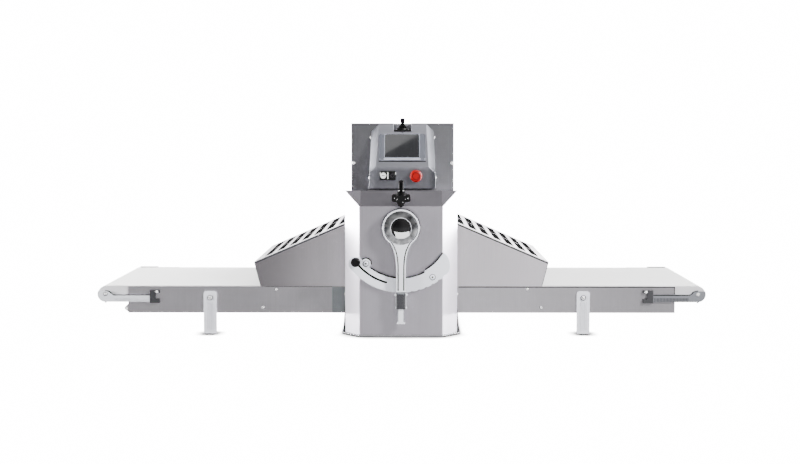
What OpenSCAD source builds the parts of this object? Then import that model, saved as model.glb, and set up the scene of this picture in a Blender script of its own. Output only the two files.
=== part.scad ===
// Tabletop dough sheeter: a central housing with two sheeting rollers, a conveyor table on each side,
// slotted guards over the tables, a gap lever on the front and a control console on the rear housing.
// X runs along the tables, Y from front to rear, Z up. The origin is on the bench under the middle.

/* [Housing] */
// Width of the flat front face
face_w = 260; // [220:5:300]
// Width of the housing behind its slanted side flanges
body_w = 354; // [330:2:400]
// Depth of the front cover
front_depth = 77; // [70:1:100]
// Height of the front face
front_h = 410; // [400:5:440]
// Rise of the slanted flange above the front face
front_rise = 46; // [35:1:60]
// Sheet thickness of the covers
cover_t = 2; // [1.5:0.5:3]
// Width of the rear side plate
rear_w = 366; // [354:2:400]
// Thickness of the two side plates
plate_t = 10; // [8:1:14]
// Thickness of the base plate
base_t = 4; // [3:0.5:6]
// Height of the rubber feet
foot_h = 4; // [3:0.5:8]
// Diameter of the rubber feet
foot_d = 40; // [30:1:50]

/* [Tables] */
// Distance from the middle of the machine to the end of each belt
table_reach = 965; // [900:5:1100]
// Width of the conveyor belts
belt_w = 620; // [560:10:660]
// Height of the belts above the bench
belt_top = 151; // [148:1:160]
// Thickness of the belts
belt_t = 2; // [1.5:0.5:3]
// Gap between a belt's edge and the outside of its rail
rail_gap = 20; // [18:1:26]
// Height of the side rails
rail_h = 84; // [78:1:90]
// Sheet thickness of the side rails
rail_t = 3; // [2:0.5:4]
// Distance from the end of a belt to the end of its rails
rail_setback = 97; // [80:1:120]
// Distance from the end of the left belt to its leg
leg_in_left = 358; // [330:1:390]
// Distance from the end of the right belt to its leg
leg_in_right = 388; // [330:1:410]
// Width of a leg
leg_w = 41; // [34:1:44]
// Corner radius at the top of a leg
leg_corner = 9; // [5:1:16]
// Thickness of a leg
leg_t = 5; // [4:0.5:6]
// Height of a leg's pivot above the bench
leg_pivot_z = 115; // [113:1:118]

/* [Rollers] */
// Diameter of the two sheeting rollers
roller_d = 64; // [56:1:66]
// Gap between the rollers at rest
roller_gap = 15; // [14:1:20]
// Diameter of a table's drive drum
drum_d = 53.4; // [46:0.2:54]
// Diameter of a table's nose roller
nose_d = 45.4; // [40:0.2:46]
// Diameter of the roller and lever shafts
shaft_d = 20; // [16:1:22]
// Diameter of the drum and nose shafts
drum_shaft_d = 14; // [10:1:16]

/* [Guards] */
// Distance from the middle to the tip of each guard
hood_reach = 467; // [440:1:500]
// Height of a guard's upper edge at the housing
hood_top = 357; // [352:1:362]
// Slope of the guards in degrees
hood_slope = 23.2; // [20:0.1:25]
// Sheet thickness of the guards
hood_t = 2; // [1.5:0.5:3]
// How far a guard's lower corner lies behind its tip
hood_tuck = 22; // [10:1:40]
// Number of slot columns in a guard
slot_count = 7; // [4:1:7]
// Width of a slot
slot_w = 17; // [12:1:18]

/* [Gap lever] */
// Height of the lever's pivot above the bench
pivot_z = 344; // [340:1:348]
// Outer diameter of the lever's ring
ring_d = 116; // [104:1:120]
// Bore of the lever's ring
ring_bore = 63; // [56:1:66]
// Width of the lever's arm
arm_w = 31; // [28:1:38]
// Thickness of the lever
lever_t = 20; // [16:1:24]
// Height of the lever's lower end above the bench
lever_end_z = 46; // [36:1:60]
// Distance of the lever's back from the front face
lever_off = 18; // [17:1:24]

/* [Arc plate] */
// Inner radius of the arc plate
arc_in = 158; // [150:1:160]
// Outer radius of the arc plate
arc_out = 202; // [196:0.5:206]
// Radius of the stop's slot
slot_r = 176; // [173:1:178]
// Thickness of the arc plate
arc_t = 3; // [2:0.5:4]
// Distance of the arc plate's back from the front face
arc_off = 8; // [8:0.5:10]

/* [Console] */
// Width of the control console at its lower edge
console_w = 236; // [226:2:250]
// Height of the control console
console_h = 229; // [222:1:260]
// How far each side of the console draws in towards its top
console_taper = 8; // [0:0.5:12]
// Height of the button panel
button_panel_h = 77; // [70:1:90]
// Backward lean of the display panel in degrees
console_lean = 30; // [26:1:32]
// Width of the slanted corner of the console
console_bevel = 25; // [20:1:30]
// Width of the display frame
bezel_w = 166; // [150:1:170]
// Height of the display frame along its panel
bezel_h = 108; // [104:1:112]

/* [Controls] */
// Diameter of the emergency stop button
estop_d = 43; // [36:1:46]
// Diameter of the start and stop buttons
button_d = 19; // [16:1:20]
// Diameter of the joystick handles
stick_d = 13; // [10:0.5:14]
// Length of the front joystick
stick_len = 66; // [55:1:70]
// Length of the upper joystick
top_stick_len = 46; // [42:1:60]
// Diameter of the stop knob
knob_d = 30; // [26:1:32]

/* [Hidden] */
$fn = 64;

// Clearances: a running fit, pieces that move past each other, and room around working parts
fit = 0.05;
gap = 0.3;
room = 2;
eps = 0.01;

// Places along Y, given for the rear; the front ones are their negatives
rail_y = belt_w / 2 + rail_gap;
web_y = rail_y - rail_t;
plate_y = rail_y + 10;
plate_out_y = plate_y + plate_t;
face_y = -(plate_out_y + front_depth);
lever_back_y = face_y - lever_off;
lever_front_y = lever_back_y - lever_t;
hub_front_y = lever_front_y - 8;
knob_front_y = face_y - arc_off - arc_t - 28;
front_reach = max(-hub_front_y, -knob_front_y);
inlet_len = 12;
back_y = front_reach - inlet_len;
roller_half = belt_w / 2 + 8;
block_in_y = roller_half + 4;

// Heights and radii of the rollers and belts
base_z = foot_h + base_t;
roller_r = roller_d / 2;
shaft_r = shaft_d / 2;
drum_r = drum_d / 2;
nose_r = nose_d / 2;
drum_shaft_r = drum_shaft_d / 2;
lower_z = belt_top + 1 - roller_r;
upper_z = lower_z + roller_d + roller_gap;
drum_loop_r = drum_r + gap + belt_t;
nose_loop_r = nose_r + gap + belt_t;
drum_z = belt_top - drum_loop_r;
nose_z = belt_top - nose_loop_r;
drum_x = roller_r + 9 + drum_loop_r;
nose_x = table_reach - nose_loop_r;
rail_top = belt_top - 1;
rail_bottom = rail_top - rail_h;
rail_in_x = 120;
rail_out_x = table_reach - rail_setback;
leg_x_left = table_reach - leg_in_left;
leg_x_right = table_reach - leg_in_right;
rail_screws = [[568 - table_reach, 10], [526 - table_reach, 67], [table_reach - 565, 8], [table_reach - 521, 67]];
cheek_in_x = rail_out_x - 68;
bed_t = 2;
bed_top = belt_top - belt_t - gap;
bed_drop = 20;
takeup_travel = 10;
bearing_r = shaft_r + 7;
drum_bearing_r = drum_shaft_r + 7;

// Housing outline
face_half = face_w / 2;
body_half = body_w / 2;
flange_angle = atan((body_half - face_half) / front_depth);
rise_angle = atan(front_rise / front_depth);
plate_half = body_half - 1;
plate_flare = 8;
flare_z = 110;
plate_top = front_h + front_rise - 16;
bridge_top = plate_top - 12;
bridge_shoulder = bridge_top - 28;
bridge_half = body_half - 17;
tie_rod_x = bridge_half - 20;

// Guards: hinge axis, sheet line and knuckles
hood_in_x = bridge_half + 6;
hinge_x = bridge_half + 10;
hinge_z = hood_top - 7;
hinge_pin_r = 3;
knuckle_r = 6.5;
knuckle_w = 22;
knuckle_ys = [-280, 0, 280];
hood_tip_z = hood_top - (hood_reach - hood_in_x) * tan(hood_slope);
hood_low_z = rail_top + gap;
slot_first = 35;
slot_last = 17.5;
hood_len = (hood_reach - hood_in_x) / cos(hood_slope);
slot_pitch = (hood_len - slot_first - slot_w - slot_last) / (slot_count - 1);
slot_rows = [[-270, -12], [12, 270]];

// Lifting gear: rack and pinion between the lever shaft and the bearing blocks
pinion_teeth = 16;
pinion_r = 20;
rack_pitch = 2 * PI * pinion_r / pinion_teeth;
tooth_out = 1.8;
tooth_in = 2.6;
lift_up = 17;
lift_down = 14;
block_half = 44;
block_h = 38;
rack_base_x = pinion_r + tooth_in;
rack_top_z = pivot_z + 46;

// Drive train in the rear housing and in the front cover
gear_teeth = 32;
jack_x = 100;
gear_span = sqrt(pow(jack_x, 2) + pow(upper_z - lower_z, 2));
gear_dir = atan2(upper_z - lower_z, jack_x);
gear_r = gear_span / 2;
sprocket_teeth = 16;
upper_sprocket_r = 20;
chain_t = 5;
chain_room = 1.9;
upper_chain_y = plate_out_y + 4;
gear_y = plate_out_y + 18;
main_chain_y = gear_y + 18;
layer_w = 8;
motor_x = -80;
motor_z = 330;
motor_sprocket_r = 16;
motor_end_x = rear_w / 2 - 43;
motor_r = 50;
gearbox_half = 40;
main_sprocket_r = 28;
table_sprocket_r = 22;
drum_sprocket_r = 17;
left_chain_y = -(plate_out_y + 4);
right_chain_y = -(plate_out_y + 18);

// Arc plate, stop and lever: angles run from straight down, positive towards the left
arc_left_end = 51.5;
arc_step = 27.5;
arc_tip = 59.5;
knob_angle = 53;
slot_end_angle = 15;
slot_half = 3;
lug = [-109, pivot_z - 111.4];
lug_r = 15;
arc_screw = [98, pivot_z - 153.4];
notch_from = -9.6;
notch_count = 6;
notch_step = 6.5;
trigger_top = pivot_z - arc_out + 0.2;
pawl_r = 4;
pawl_z = pivot_z - arc_out - 1 - pawl_r;
lever_mid_y = lever_back_y - lever_t / 2;

// Console: the display panel leans back to the rear plate, and the rear plate is as high as the console
console_z = bridge_top + 9;
fold_z = console_z + button_panel_h;
rear_h = console_z + console_h;
console_y = plate_y - (rear_h - 1 - fold_z) * tan(console_lean);
console_half = console_w / 2;
bevel_slope = 0.056;
switch_at = [-51, fold_z - 32];
button_step = 16.5;
estop_at = [48, fold_z - 33];
glass_w = 121;
glass_h = 94;
glass_at = [-1.5, 5];
pocket_z = rear_h - 28;
pocket_half = 32;
pocket_back = plate_out_y + 42;
pocket_slope = 5;
display_z = pocket_z - 11 - bezel_h / 2 * cos(console_lean);

// Joysticks: height of the tilting pin over the base's underside, and the sizes around it
pin_h = 10;
pin_r = 2.5;
ear_y = 6;
ear_t = 2;
boot_r = 14.5;
cavity_r = 9.2;

function arc(cx, cy, r, a0, a1, n = 12) =
    [for (i = [0 : n]) [cx + r * cos(a0 + (a1 - a0) * i / n), cy + r * sin(a0 + (a1 - a0) * i / n)]];

function gear_points(teeth, r, out, in, root, tip) =
    [for (i = [0 : teeth - 1]) each
        [for (p = [[r - in, -root], [r + out, -tip], [r + out, tip], [r - in, root]])
            p[0] * [cos(p[1] + i * 360 / teeth), sin(p[1] + i * 360 / teeth)]]];

// Height of the display panel's surface line at a given z
function panel_y(z) = console_y + (z - fold_z) * tan(console_lean);

// Half width of the console at a given z
function console_side(z) = console_half - console_taper * (z - console_z) / console_h;

// A flat shape drawn in X and Z, from y0 to y1
module xz(y0, y1) {
    translate([0, y1, 0]) rotate([90, 0, 0]) linear_extrude(y1 - y0) children();
}

// A flat shape drawn in Y and Z, from x0 to x1
module yz(x0, x1) {
    translate([x0, 0, 0]) rotate([90, 0, 90]) linear_extrude(x1 - x0) children();
}

// A round bar along Y
module bar_y(x, z, y0, y1, r) {
    translate([x, y0, z]) rotate([-90, 0, 0]) cylinder(h = y1 - y0, r = r);
}

// A round bar along X
module bar_x(y, z, x0, x1, r) {
    translate([x0, y, z]) rotate([0, 90, 0]) cylinder(h = x1 - x0, r = r);
}

// A box from its low corner to its high corner
module box(low, high) {
    translate(low) cube(high - low);
}

// Draws a piece made for the right-hand side, on the right or mirrored to the left
module on_side(side) {
    mirror([side < 0 ? 1 : 0, 0, 0]) children();
}

// Draws a piece made for the rear, on the rear or mirrored to the front
module at_end(end) {
    mirror([0, end < 0 ? 1 : 0, 0]) children();
}

// A closed chain loop around two wheels of one size of clearance
module chain_loop(x0, z0, r0, x1, z1, r1) {
    span = sqrt(pow(x1 - x0, 2) + pow(z1 - z0, 2));
    dir = atan2(z1 - z0, x1 - x0);
    lean = acos((r0 - r1) / span);
    difference() {
        polygon(chain_outline(x0, z0, r0 + chain_t, x1, z1, r1 + chain_t, dir, lean));
        polygon(chain_outline(x0, z0, r0, x1, z1, r1, dir, lean));
    }
}

function chain_outline(x0, z0, r0, x1, z1, r1, dir, lean) =
    concat(arc(x0, z0, r0, dir + lean, dir + 360 - lean, 20), arc(x1, z1, r1, dir - lean, dir + lean, 16));

module sprocket(x, z, y0, r, teeth = sprocket_teeth) {
    translate([x, 0, z]) xz(y0, y0 + layer_w)
        polygon(gear_points(teeth, r, 0, 3, 360 / teeth * 0.36, 360 / teeth * 0.14));
}

// Housing

module base_plate() {
    color("silver") translate([0, 0, foot_h]) linear_extrude(base_t) polygon([
        [-face_half - 1, face_y - 2], [face_half + 1, face_y - 2],
        [body_half + 11, -plate_out_y + 1], [body_half + 11, plate_out_y],
        [body_half + 5, back_y - 40], [face_half, back_y + 1],
        [-face_half, back_y + 1], [-body_half - 5, back_y - 40],
        [-body_half - 11, plate_out_y], [-body_half - 11, -plate_out_y + 1]
    ]);
}

module feet() {
    color("dimgray") for (side = [-1, 1], y = [face_y + 32, back_y - 36])
        translate([side * (face_half - 25), y, 0]) cylinder(h = foot_h, d = foot_d);
}

module plate_holes(y0, y1) {
    bar_y(0, lower_z, y0, y1, bearing_r + fit);
    bar_y(0, pivot_z, y0, y1, bearing_r + fit);
    for (side = [-1, 1])
        bar_y(side * drum_x, drum_z, y0, y1, drum_bearing_r + fit);
}

module side_plate_front() {
    color("darkgray") difference() {
        xz(-plate_out_y, -plate_y) polygon([
            [-plate_half - plate_flare, base_z], [plate_half + plate_flare, base_z],
            [plate_half, flare_z], [plate_half, plate_top], [-plate_half, plate_top], [-plate_half, flare_z]
        ]);
        plate_holes(-plate_out_y - 1, -plate_y + 1);
    }
}

module side_plate_rear() {
    color("gray") difference() {
        box([-rear_w / 2, plate_y, base_z], [rear_w / 2, plate_out_y, rear_h]);
        plate_holes(plate_y - 1, plate_out_y + 1);
        bar_y(jack_x, upper_z, plate_y - 1, plate_out_y + 1, drum_bearing_r + fit);
        box([-shaft_r - room, plate_y - 1, upper_z - lift_down - shaft_r - room],
            [shaft_r + room, plate_out_y + 1, upper_z + lift_up + shaft_r + room]);
        pocket_cut();
    }
}

// The pocket for the upper joystick: its hollow, and the sheet that lines it
function pocket_floor(y) = pocket_z + (y - plate_out_y) * tan(pocket_slope);

module pocket_cut() {
    y0 = console_y + 20;
    yz(-pocket_half, pocket_half) polygon([
        [y0, pocket_floor(y0)], [pocket_back, pocket_floor(pocket_back)],
        [pocket_back, rear_h + 1], [y0, rear_h + 1]]);
}

module pocket_lining() {
    y0 = console_y + 20;
    y1 = pocket_back + cover_t;
    yz(-pocket_half - cover_t, pocket_half + cover_t) polygon([
        [y0, pocket_floor(y0) - cover_t], [y1, pocket_floor(y1) - cover_t],
        [y1, rear_h + 1], [y0, rear_h + 1]]);
}

module tie_rods() {
    color("silver") for (side = [-1, 1], z = [50, plate_top - 66])
        bar_y(side * tie_rod_x, z, -plate_y, plate_y, 8);
}

module bearing_ring(x, z, r, bore) {
    difference() {
        bar_y(x, z, plate_y, plate_out_y, r);
        bar_y(x, z, plate_y - 1, plate_out_y + 1, bore + fit);
    }
}

module bearings() {
    color("steelblue") {
        for (end = [-1, 1]) at_end(end) {
            bearing_ring(0, lower_z, bearing_r, shaft_r);
            bearing_ring(0, pivot_z, bearing_r, shaft_r);
            for (side = [-1, 1])
                bearing_ring(side * drum_x, drum_z, drum_bearing_r, drum_shaft_r);
        }
        bearing_ring(jack_x, upper_z, drum_bearing_r, drum_shaft_r);
    }
}

module slide_guides() {
    color("goldenrod") for (end = [-1, 1], side = [-1, 1]) at_end(end) on_side(side)
        box([block_half + gap, block_in_y, upper_z - block_h / 2 - lift_down],
            [block_half + 12, plate_y, pivot_z - 30]);
}

// The front cover's solid outline, drawn in by its sheet thickness for the hollow
module cover_body(inset) {
    in_x = inset / cos(flange_angle);
    in_z = inset / cos(rise_angle);
    over = inset > 0 ? 1 : 0;
    front = face_y + inset;
    back = -plate_out_y + over;
    front_half = face_half + inset * tan(flange_angle) - in_x;
    back_half = body_half + over * tan(flange_angle) - in_x;
    intersection() {
        linear_extrude(rear_h) polygon([
            [-front_half, front], [front_half, front], [back_half, back], [-back_half, back]]);
        yz(-body_half - 9, body_half + 9) polygon([
            [front, base_z - over], [back, base_z - over],
            [back, front_h + front_rise + over * tan(rise_angle) - in_z],
            [front, front_h + inset * tan(rise_angle) - in_z]]);
    }
}

module front_cover() {
    color("lightgray") difference() {
        cover_body(0);
        cover_body(cover_t);
        bar_y(0, pivot_z, face_y - 1, face_y + cover_t + 1, shaft_r + room);
    }
}

module rear_body(inset) {
    over = inset > 0 ? 1 : 0;
    half = rear_w / 2 - inset;
    front = plate_out_y - over;
    back = back_y - inset;
    corner = 40;
    top = rear_h - 2 - inset;
    intersection() {
        linear_extrude(rear_h) polygon([
            [-half, front], [half, front], [half, back - corner], [half - corner, back],
            [corner - half, back], [-half, back - corner]]);
        yz(-rear_w, rear_w) polygon([
            [front, base_z - over], [back, base_z - over], [back, top - corner], [back - corner, top],
            [front, top]]);
    }
}

module rear_cover() {
    color("lightgray") difference() {
        union() {
            difference() {
                rear_body(0);
                rear_body(cover_t);
            }
            intersection() {
                rear_body(0);
                pocket_lining();
            }
        }
        pocket_cut();
        for (row = [0 : 7], side = [-1, 1])
            box([side * 65 - 45, back_y - cover_t - 1, rear_h - 190 + row * 14],
                [side * 65 + 45, back_y + 1, rear_h - 184 + row * 14]);
        bar_y(110, 80, back_y - cover_t - 1, back_y + 1, 8 + gap);
    }
}

module bridge_profile(inset) {
    half = bridge_half - inset;
    low = hinge_z - 5 - (inset > 0 ? 1 : 0);
    polygon([
        [-half, low], [half, low], [half, bridge_shoulder - inset / 2], [half - 37, bridge_top - inset],
        [37 - half, bridge_top - inset], [-half, bridge_shoulder - inset / 2]]);
}

module bridge_cover() {
    color("silver") difference() {
        union() {
            difference() {
                xz(-plate_y, plate_y) bridge_profile(0);
                xz(-plate_y - 1, plate_y + 1) bridge_profile(cover_t);
            }
            for (side = [-1, 1], y = knuckle_ys) on_side(side) {
                bar_y(hinge_x, hinge_z, y - knuckle_w / 2, y + knuckle_w / 2, knuckle_r);
                box([bridge_half - cover_t, y - knuckle_w / 2, hinge_z - 3],
                    [hinge_x, y + knuckle_w / 2, hinge_z + 3]);
            }
        }
        for (side = [-1, 1])
            bar_y(side * hinge_x, hinge_z, -plate_y, plate_y, hinge_pin_r + fit);
    }
}

module hood_pins() {
    color("silver") for (side = [-1, 1])
        bar_y(side * hinge_x, hinge_z, -web_y, web_y, hinge_pin_r);
}

module cable_inlet() {
    color("dimgray") translate([110, 0, 80]) {
        bar_y(0, 0, back_y - cover_t - 6, back_y, 8);
        bar_y(0, 0, back_y - cover_t - 10, back_y - cover_t - 4, 12);
        difference() {
            union() {
                translate([0, back_y + 5, 0]) rotate([90, 0, 0]) cylinder(h = 5, r = 14, $fn = 6);
                bar_y(0, 0, back_y + 5, back_y + inlet_len, 10);
            }
            bar_y(0, 0, back_y + 4, back_y + inlet_len + 1, 5);
        }
    }
}

module screw(r, h) {
    cylinder(h = h * 0.6, r = r);
    translate([0, 0, h * 0.6]) cylinder(h = h * 0.4, r1 = r, r2 = r * 0.6);
}

module screw_out(x, y, z) {
    translate([x, y, z]) rotate([90, 0, 0]) screw(4.5, 3);
}

module screws() {
    color("white") {
        for (end = [-1, 1]) at_end(-end) for (at = rail_screws)
            screw_out(at[0], -rail_y, rail_top - at[1]);
        for (at = [lug, arc_screw])
            screw_out(at[0], face_y - arc_off - arc_t, at[1]);
        for (side = [-1, 1]) on_side(side) {
            screw_out(rear_w / 2 - 6, plate_y, fold_z + 10);
            for (at = [[plate_y - 8, fold_z + 101], [plate_y - 30, fold_z - 41]])
                translate([console_side(at[1] - 5) + gap, at[0], at[1]]) rotate([0, 90, 0]) screw(4.5, 3.5);
            translate([plate_half, -plate_out_y + 5, 128]) rotate([0, 90, 0]) screw(4.5, 3.5);
        }
    }
}

// A point on the arc plate's face, by radius and angle
function on_arc(r, a) = [-r * sin(a), pivot_z - r * cos(a)];

module arc_plate() {
    band = (arc_out - arc_in) / 2;
    left = 270 - arc_left_end;
    step_in = arc_in - 5.5;
    tip = [for (p = [[0.16, 0], [0.42, -1.8], [0.66, -4.8], [0.86, -8.2], [1, -12]])
        on_arc(step_in + (arc_out - step_in) * p[0], -arc_tip - p[1])];
    color("whitesmoke") union() {
        xz(face_y - arc_off - arc_t, face_y - arc_off) difference() {
            union() {
                polygon(concat(
                    arc(0, pivot_z, arc_out, left, 270 + arc_tip - 13, 36), [for (i = [4 : -1 : 0]) tip[i]],
                    arc(0, pivot_z, step_in, 270 + arc_tip, 270 + arc_step + 2, 12),
                    arc(0, pivot_z, arc_in, 270 + arc_step, left, 30)));
                translate(on_arc(arc_in + band, arc_left_end)) circle(r = band);
                translate(lug) circle(r = lug_r);
                translate(lug) rotate(-42) translate([-4, -20]) square([18, 22]);
            }
            polygon(concat(
                arc(0, pivot_z, slot_r + slot_half, 270 - knob_angle, 270 - slot_end_angle, 24),
                arc(0, pivot_z, slot_r - slot_half, 270 - slot_end_angle, 270 - knob_angle, 24)));
            for (a = [knob_angle, slot_end_angle])
                translate(on_arc(slot_r, a)) circle(r = slot_half);
            for (i = [0 : notch_count - 1])
                translate(on_arc(arc_out + 4.6, notch_from - i * notch_step)) circle(r = 7);
        }
        for (at = [lug, arc_screw])
            bar_y(at[0], at[1], face_y - arc_off, face_y, 8);
    }
}

// Tables

module rail(leg_x) {
    difference() {
        yz(rail_in_x, rail_out_x) polygon([
            [web_y, rail_bottom + rail_t], [web_y - 12, rail_bottom + rail_t], [web_y - 12, rail_bottom],
            [rail_y, rail_bottom], [rail_y, rail_top], [web_y - 7, rail_top], [web_y - 7, rail_top - rail_t],
            [web_y, rail_top - rail_t]]);
        box([cheek_in_x - 1, web_y - 8, rail_top - rail_t - 1], [rail_out_x + 1, web_y, rail_top + 1]);
        bar_y(leg_x, leg_pivot_z, web_y - 1, rail_y + 1, drum_shaft_r - 1 + fit);
    }
}

// The small lug at the lower corner of each left rail
module rail_lug() {
    xz(web_y, rail_y) translate([rail_out_x, rail_bottom]) polygon([
        [-4, 0], [12, 12], [11, 18], [0, 29], [-4, 29]]);
}

module table_rails() {
    color("silver") for (end = [-1, 1]) at_end(end) {
        rail(leg_x_right);
        on_side(-1) rail(leg_x_left);
        on_side(-1) rail_lug();
    }
}

module rail_brackets() {
    color("darkgray") {
        for (side = [-1, 1], end = [-1, 1]) on_side(side) at_end(end)
            box([rail_in_x + 12, rail_y, rail_bottom + 8], [plate_half - 4, plate_y, rail_top - 8]);
        for (turn = [0, 180]) rotate([0, 0, turn])
            box([-body_half - 42, -rail_y - 1.5, rail_bottom], [-body_half + 3, -rail_y, rail_top]);
    }
}

module table_beds() {
    x0 = drum_x + drum_loop_r + 5;
    x1 = nose_x - nose_loop_r - takeup_travel - 5;
    side_y = belt_w / 2 + 3;
    flange_x1 = rail_out_x - 78;
    color("lightgray") for (side = [-1, 1]) on_side(side) {
        box([x0, -side_y, bed_top - bed_t], [x1, side_y, bed_top]);
        for (end = [-1, 1]) at_end(end) {
            box([x0, side_y - bed_t, bed_top - bed_drop], [x1, side_y, bed_top - bed_t]);
            box([rail_in_x, side_y, bed_top - bed_drop], [flange_x1, web_y, bed_top - bed_drop + bed_t]);
        }
    }
}

function belt_outline(inset) =
    let (rd = drum_loop_r - inset, rn = nose_loop_r - inset)
    let (dip = 2 * atan2(nose_z - drum_z, nose_x - drum_x))
    concat(arc(nose_x, nose_z, rn, 90, dip - 90, 24), arc(drum_x, drum_z, rd, dip - 90, -270, 24));

module conveyor_belts() {
    color("ivory") for (side = [-1, 1]) on_side(side) difference() {
        xz(-belt_w / 2, belt_w / 2) polygon(belt_outline(0));
        xz(-belt_w / 2 - 1, belt_w / 2 + 1) polygon(belt_outline(belt_t));
    }
}

module nose_cheeks() {
    slot_half = drum_shaft_r + gap;
    color("gainsboro") for (side = [-1, 1], end = [-1, 1]) on_side(side) at_end(end)
        xz(web_y - 6, web_y) difference() {
            polygon(concat(
                [[cheek_in_x, belt_top], [cheek_in_x, nose_z - nose_loop_r]],
                arc(nose_x, nose_z, nose_loop_r, -90, 90, 24)));
            translate([nose_x - takeup_travel - slot_half, nose_z - slot_half])
                square([takeup_travel + 2 * slot_half, 2 * slot_half]);
        }
}

// The take-up arms reach back from the nose roller's shaft to a clip on each rail
arm_low = nose_z - nose_loop_r;
arm_high = nose_z - 1.5;
arm_head = nose_z + 9.5;
arm_in_x = nose_x - 148;
takeup_y = rail_y + gap;
takeup_t = 6;

module takeup_arms(side) {
    color("lightsteelblue") for (end = [-1, 1]) on_side(side) at_end(end)
        xz(takeup_y, takeup_y + takeup_t) difference() {
            polygon(concat(
                [[arm_in_x, arm_high], [arm_in_x, arm_low], [nose_x - 3, arm_low], [nose_x - 3, arm_low - 3],
                 [nose_x + 2, arm_low - 3], [nose_x + 2, arm_low]],
                arc(nose_x, nose_z, nose_loop_r, -84, asin(9.5 / nose_loop_r), 16),
                [[nose_x - 13, arm_head], [nose_x - 26, arm_high]]));
            translate([nose_x, nose_z]) circle(r = drum_shaft_r + fit);
        }
}

module takeup_arms_left() { takeup_arms(-1); }

module takeup_arms_right() { takeup_arms(1); }

module takeup_clips() {
    clip_x = arm_in_x - 26;
    color("dimgray") for (side = [-1, 1], end = [-1, 1]) on_side(side) at_end(end) difference() {
        box([clip_x, rail_y, arm_low - 3], [arm_in_x + 6, takeup_y + takeup_t + 3, arm_high + 14]);
        box([arm_in_x - takeup_travel - 1, rail_y - 1, arm_low - 1],
            [arm_in_x + 7, takeup_y + takeup_t + gap, arm_high + 1]);
        box([clip_x - 1, rail_y - 1, arm_low + 10],
            [arm_in_x - takeup_travel - 3, takeup_y + takeup_t + 4, arm_high + 5]);
    }
}

module nose_roller() {
    bar_y(nose_x, nose_z, -roller_half + 2, roller_half - 2, nose_r);
    bar_y(nose_x, nose_z, -takeup_y - takeup_t, takeup_y + takeup_t, drum_shaft_r);
}

module nose_roller_left() {
    color("silver") on_side(-1) nose_roller();
}

module nose_roller_right() {
    color("silver") nose_roller();
}

module drum(front_y) {
    bar_y(drum_x, drum_z, -belt_w / 2 - 2, belt_w / 2 + 2, drum_r);
    bar_y(drum_x, drum_z, front_y - layer_w, plate_out_y + 2, drum_shaft_r);
    sprocket(drum_x, drum_z, front_y - layer_w, drum_sprocket_r, 12);
}

module drum_left() {
    color("gray") on_side(-1) drum(left_chain_y);
}

module drum_right() {
    color("gray") drum(right_chain_y);
}

module leg(x) {
    half = leg_w / 2;
    top_in = half - leg_corner;
    top_z = leg_pivot_z + half - leg_corner;
    pin_r = drum_shaft_r - 1;
    for (end = [-1, 1]) at_end(end) {
        xz(rail_y + gap, rail_y + gap + leg_t) polygon(concat(
            [[x - half, 0], [x + half, 0]], arc(x + top_in, top_z, leg_corner, 0, 90, 8),
            arc(x - top_in, top_z, leg_corner, 90, 180, 8)));
        bar_y(x, leg_pivot_z, rail_y + gap + leg_t, rail_y + gap + leg_t + 3, 7);
    }
    bar_y(x, leg_pivot_z, -rail_y - leg_t, rail_y + leg_t, pin_r);
}

module leg_left() {
    color("whitesmoke") leg(-leg_x_left);
}

module leg_right() {
    color("whitesmoke") leg(leg_x_right);
}

// Guards

module hood() {
    cut = hood_t / cos(hood_slope);
    difference() {
        union() {
            xz(-rail_y, rail_y) polygon([
                [hood_in_x, hood_top - cut], [hood_in_x, hood_top],
                [hood_reach, hood_tip_z], [hood_reach - 1, hood_tip_z - cut]]);
            for (end = [-1, 1]) at_end(end)
                xz(rail_y - hood_t, rail_y) polygon([
                    [hood_in_x, hood_low_z], [hood_in_x, hood_top], [hood_reach, hood_tip_z],
                    [hood_reach - hood_tuck, hood_low_z]]);
            for (y = knuckle_ys, end = [-1, 1])
                hood_knuckle(y + end * (knuckle_w + gap));
        }
        for (y = knuckle_ys)
            box([hood_in_x - 1, y - knuckle_w / 2 - gap, hinge_z - knuckle_r - 3],
                [hinge_x + knuckle_r + 1, y + knuckle_w / 2 + gap, hood_top + 1]);
        bar_y(hinge_x, hinge_z, -web_y - 2, web_y + 2, hinge_pin_r + fit);
        for (i = [0 : slot_count - 1], row = slot_rows) hood_slot(i, row);
    }
}

module hood_knuckle(y) {
    bar_y(hinge_x, hinge_z, y - knuckle_w / 2, y + knuckle_w / 2, knuckle_r - 1);
    box([hinge_x - 1, y - knuckle_w / 2, hinge_z], [hinge_x + 4, y + knuckle_w / 2, hood_top - 3]);
}

module hood_slot(i, row) {
    translate([hood_reach, 0, hood_tip_z]) rotate([0, hood_slope, 0])
        translate([-slot_first - i * slot_pitch - slot_w, row[0], -hood_t - 2])
            cube([slot_w, row[1] - row[0], hood_t + 5]);
}

module hood_left() {
    color("silver") on_side(-1) hood();
}

module hood_right() {
    color("silver") hood();
}

// Sheeting rollers and what carries them

module roller_upper() {
    color("white") {
        bar_y(0, upper_z, -roller_half, roller_half, roller_r);
        bar_y(0, upper_z, -plate_y + 1, upper_chain_y + layer_w, shaft_r);
        sprocket(0, upper_z, upper_chain_y, upper_sprocket_r);
    }
}

module roller_lower() {
    color("white") {
        bar_y(0, lower_z, -roller_half, roller_half, roller_r);
        bar_y(0, lower_z, right_chain_y - layer_w, main_chain_y + layer_w, shaft_r - eps);
    }
}

module wheel_on_shaft(y0, points) {
    translate([0, 0, lower_z]) xz(y0, y0 + layer_w) difference() {
        polygon(points);
        circle(r = shaft_r + eps);
    }
}

function sprocket_points(r) = gear_points(sprocket_teeth, r, 0, 3, 8.1, 3.1);

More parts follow.
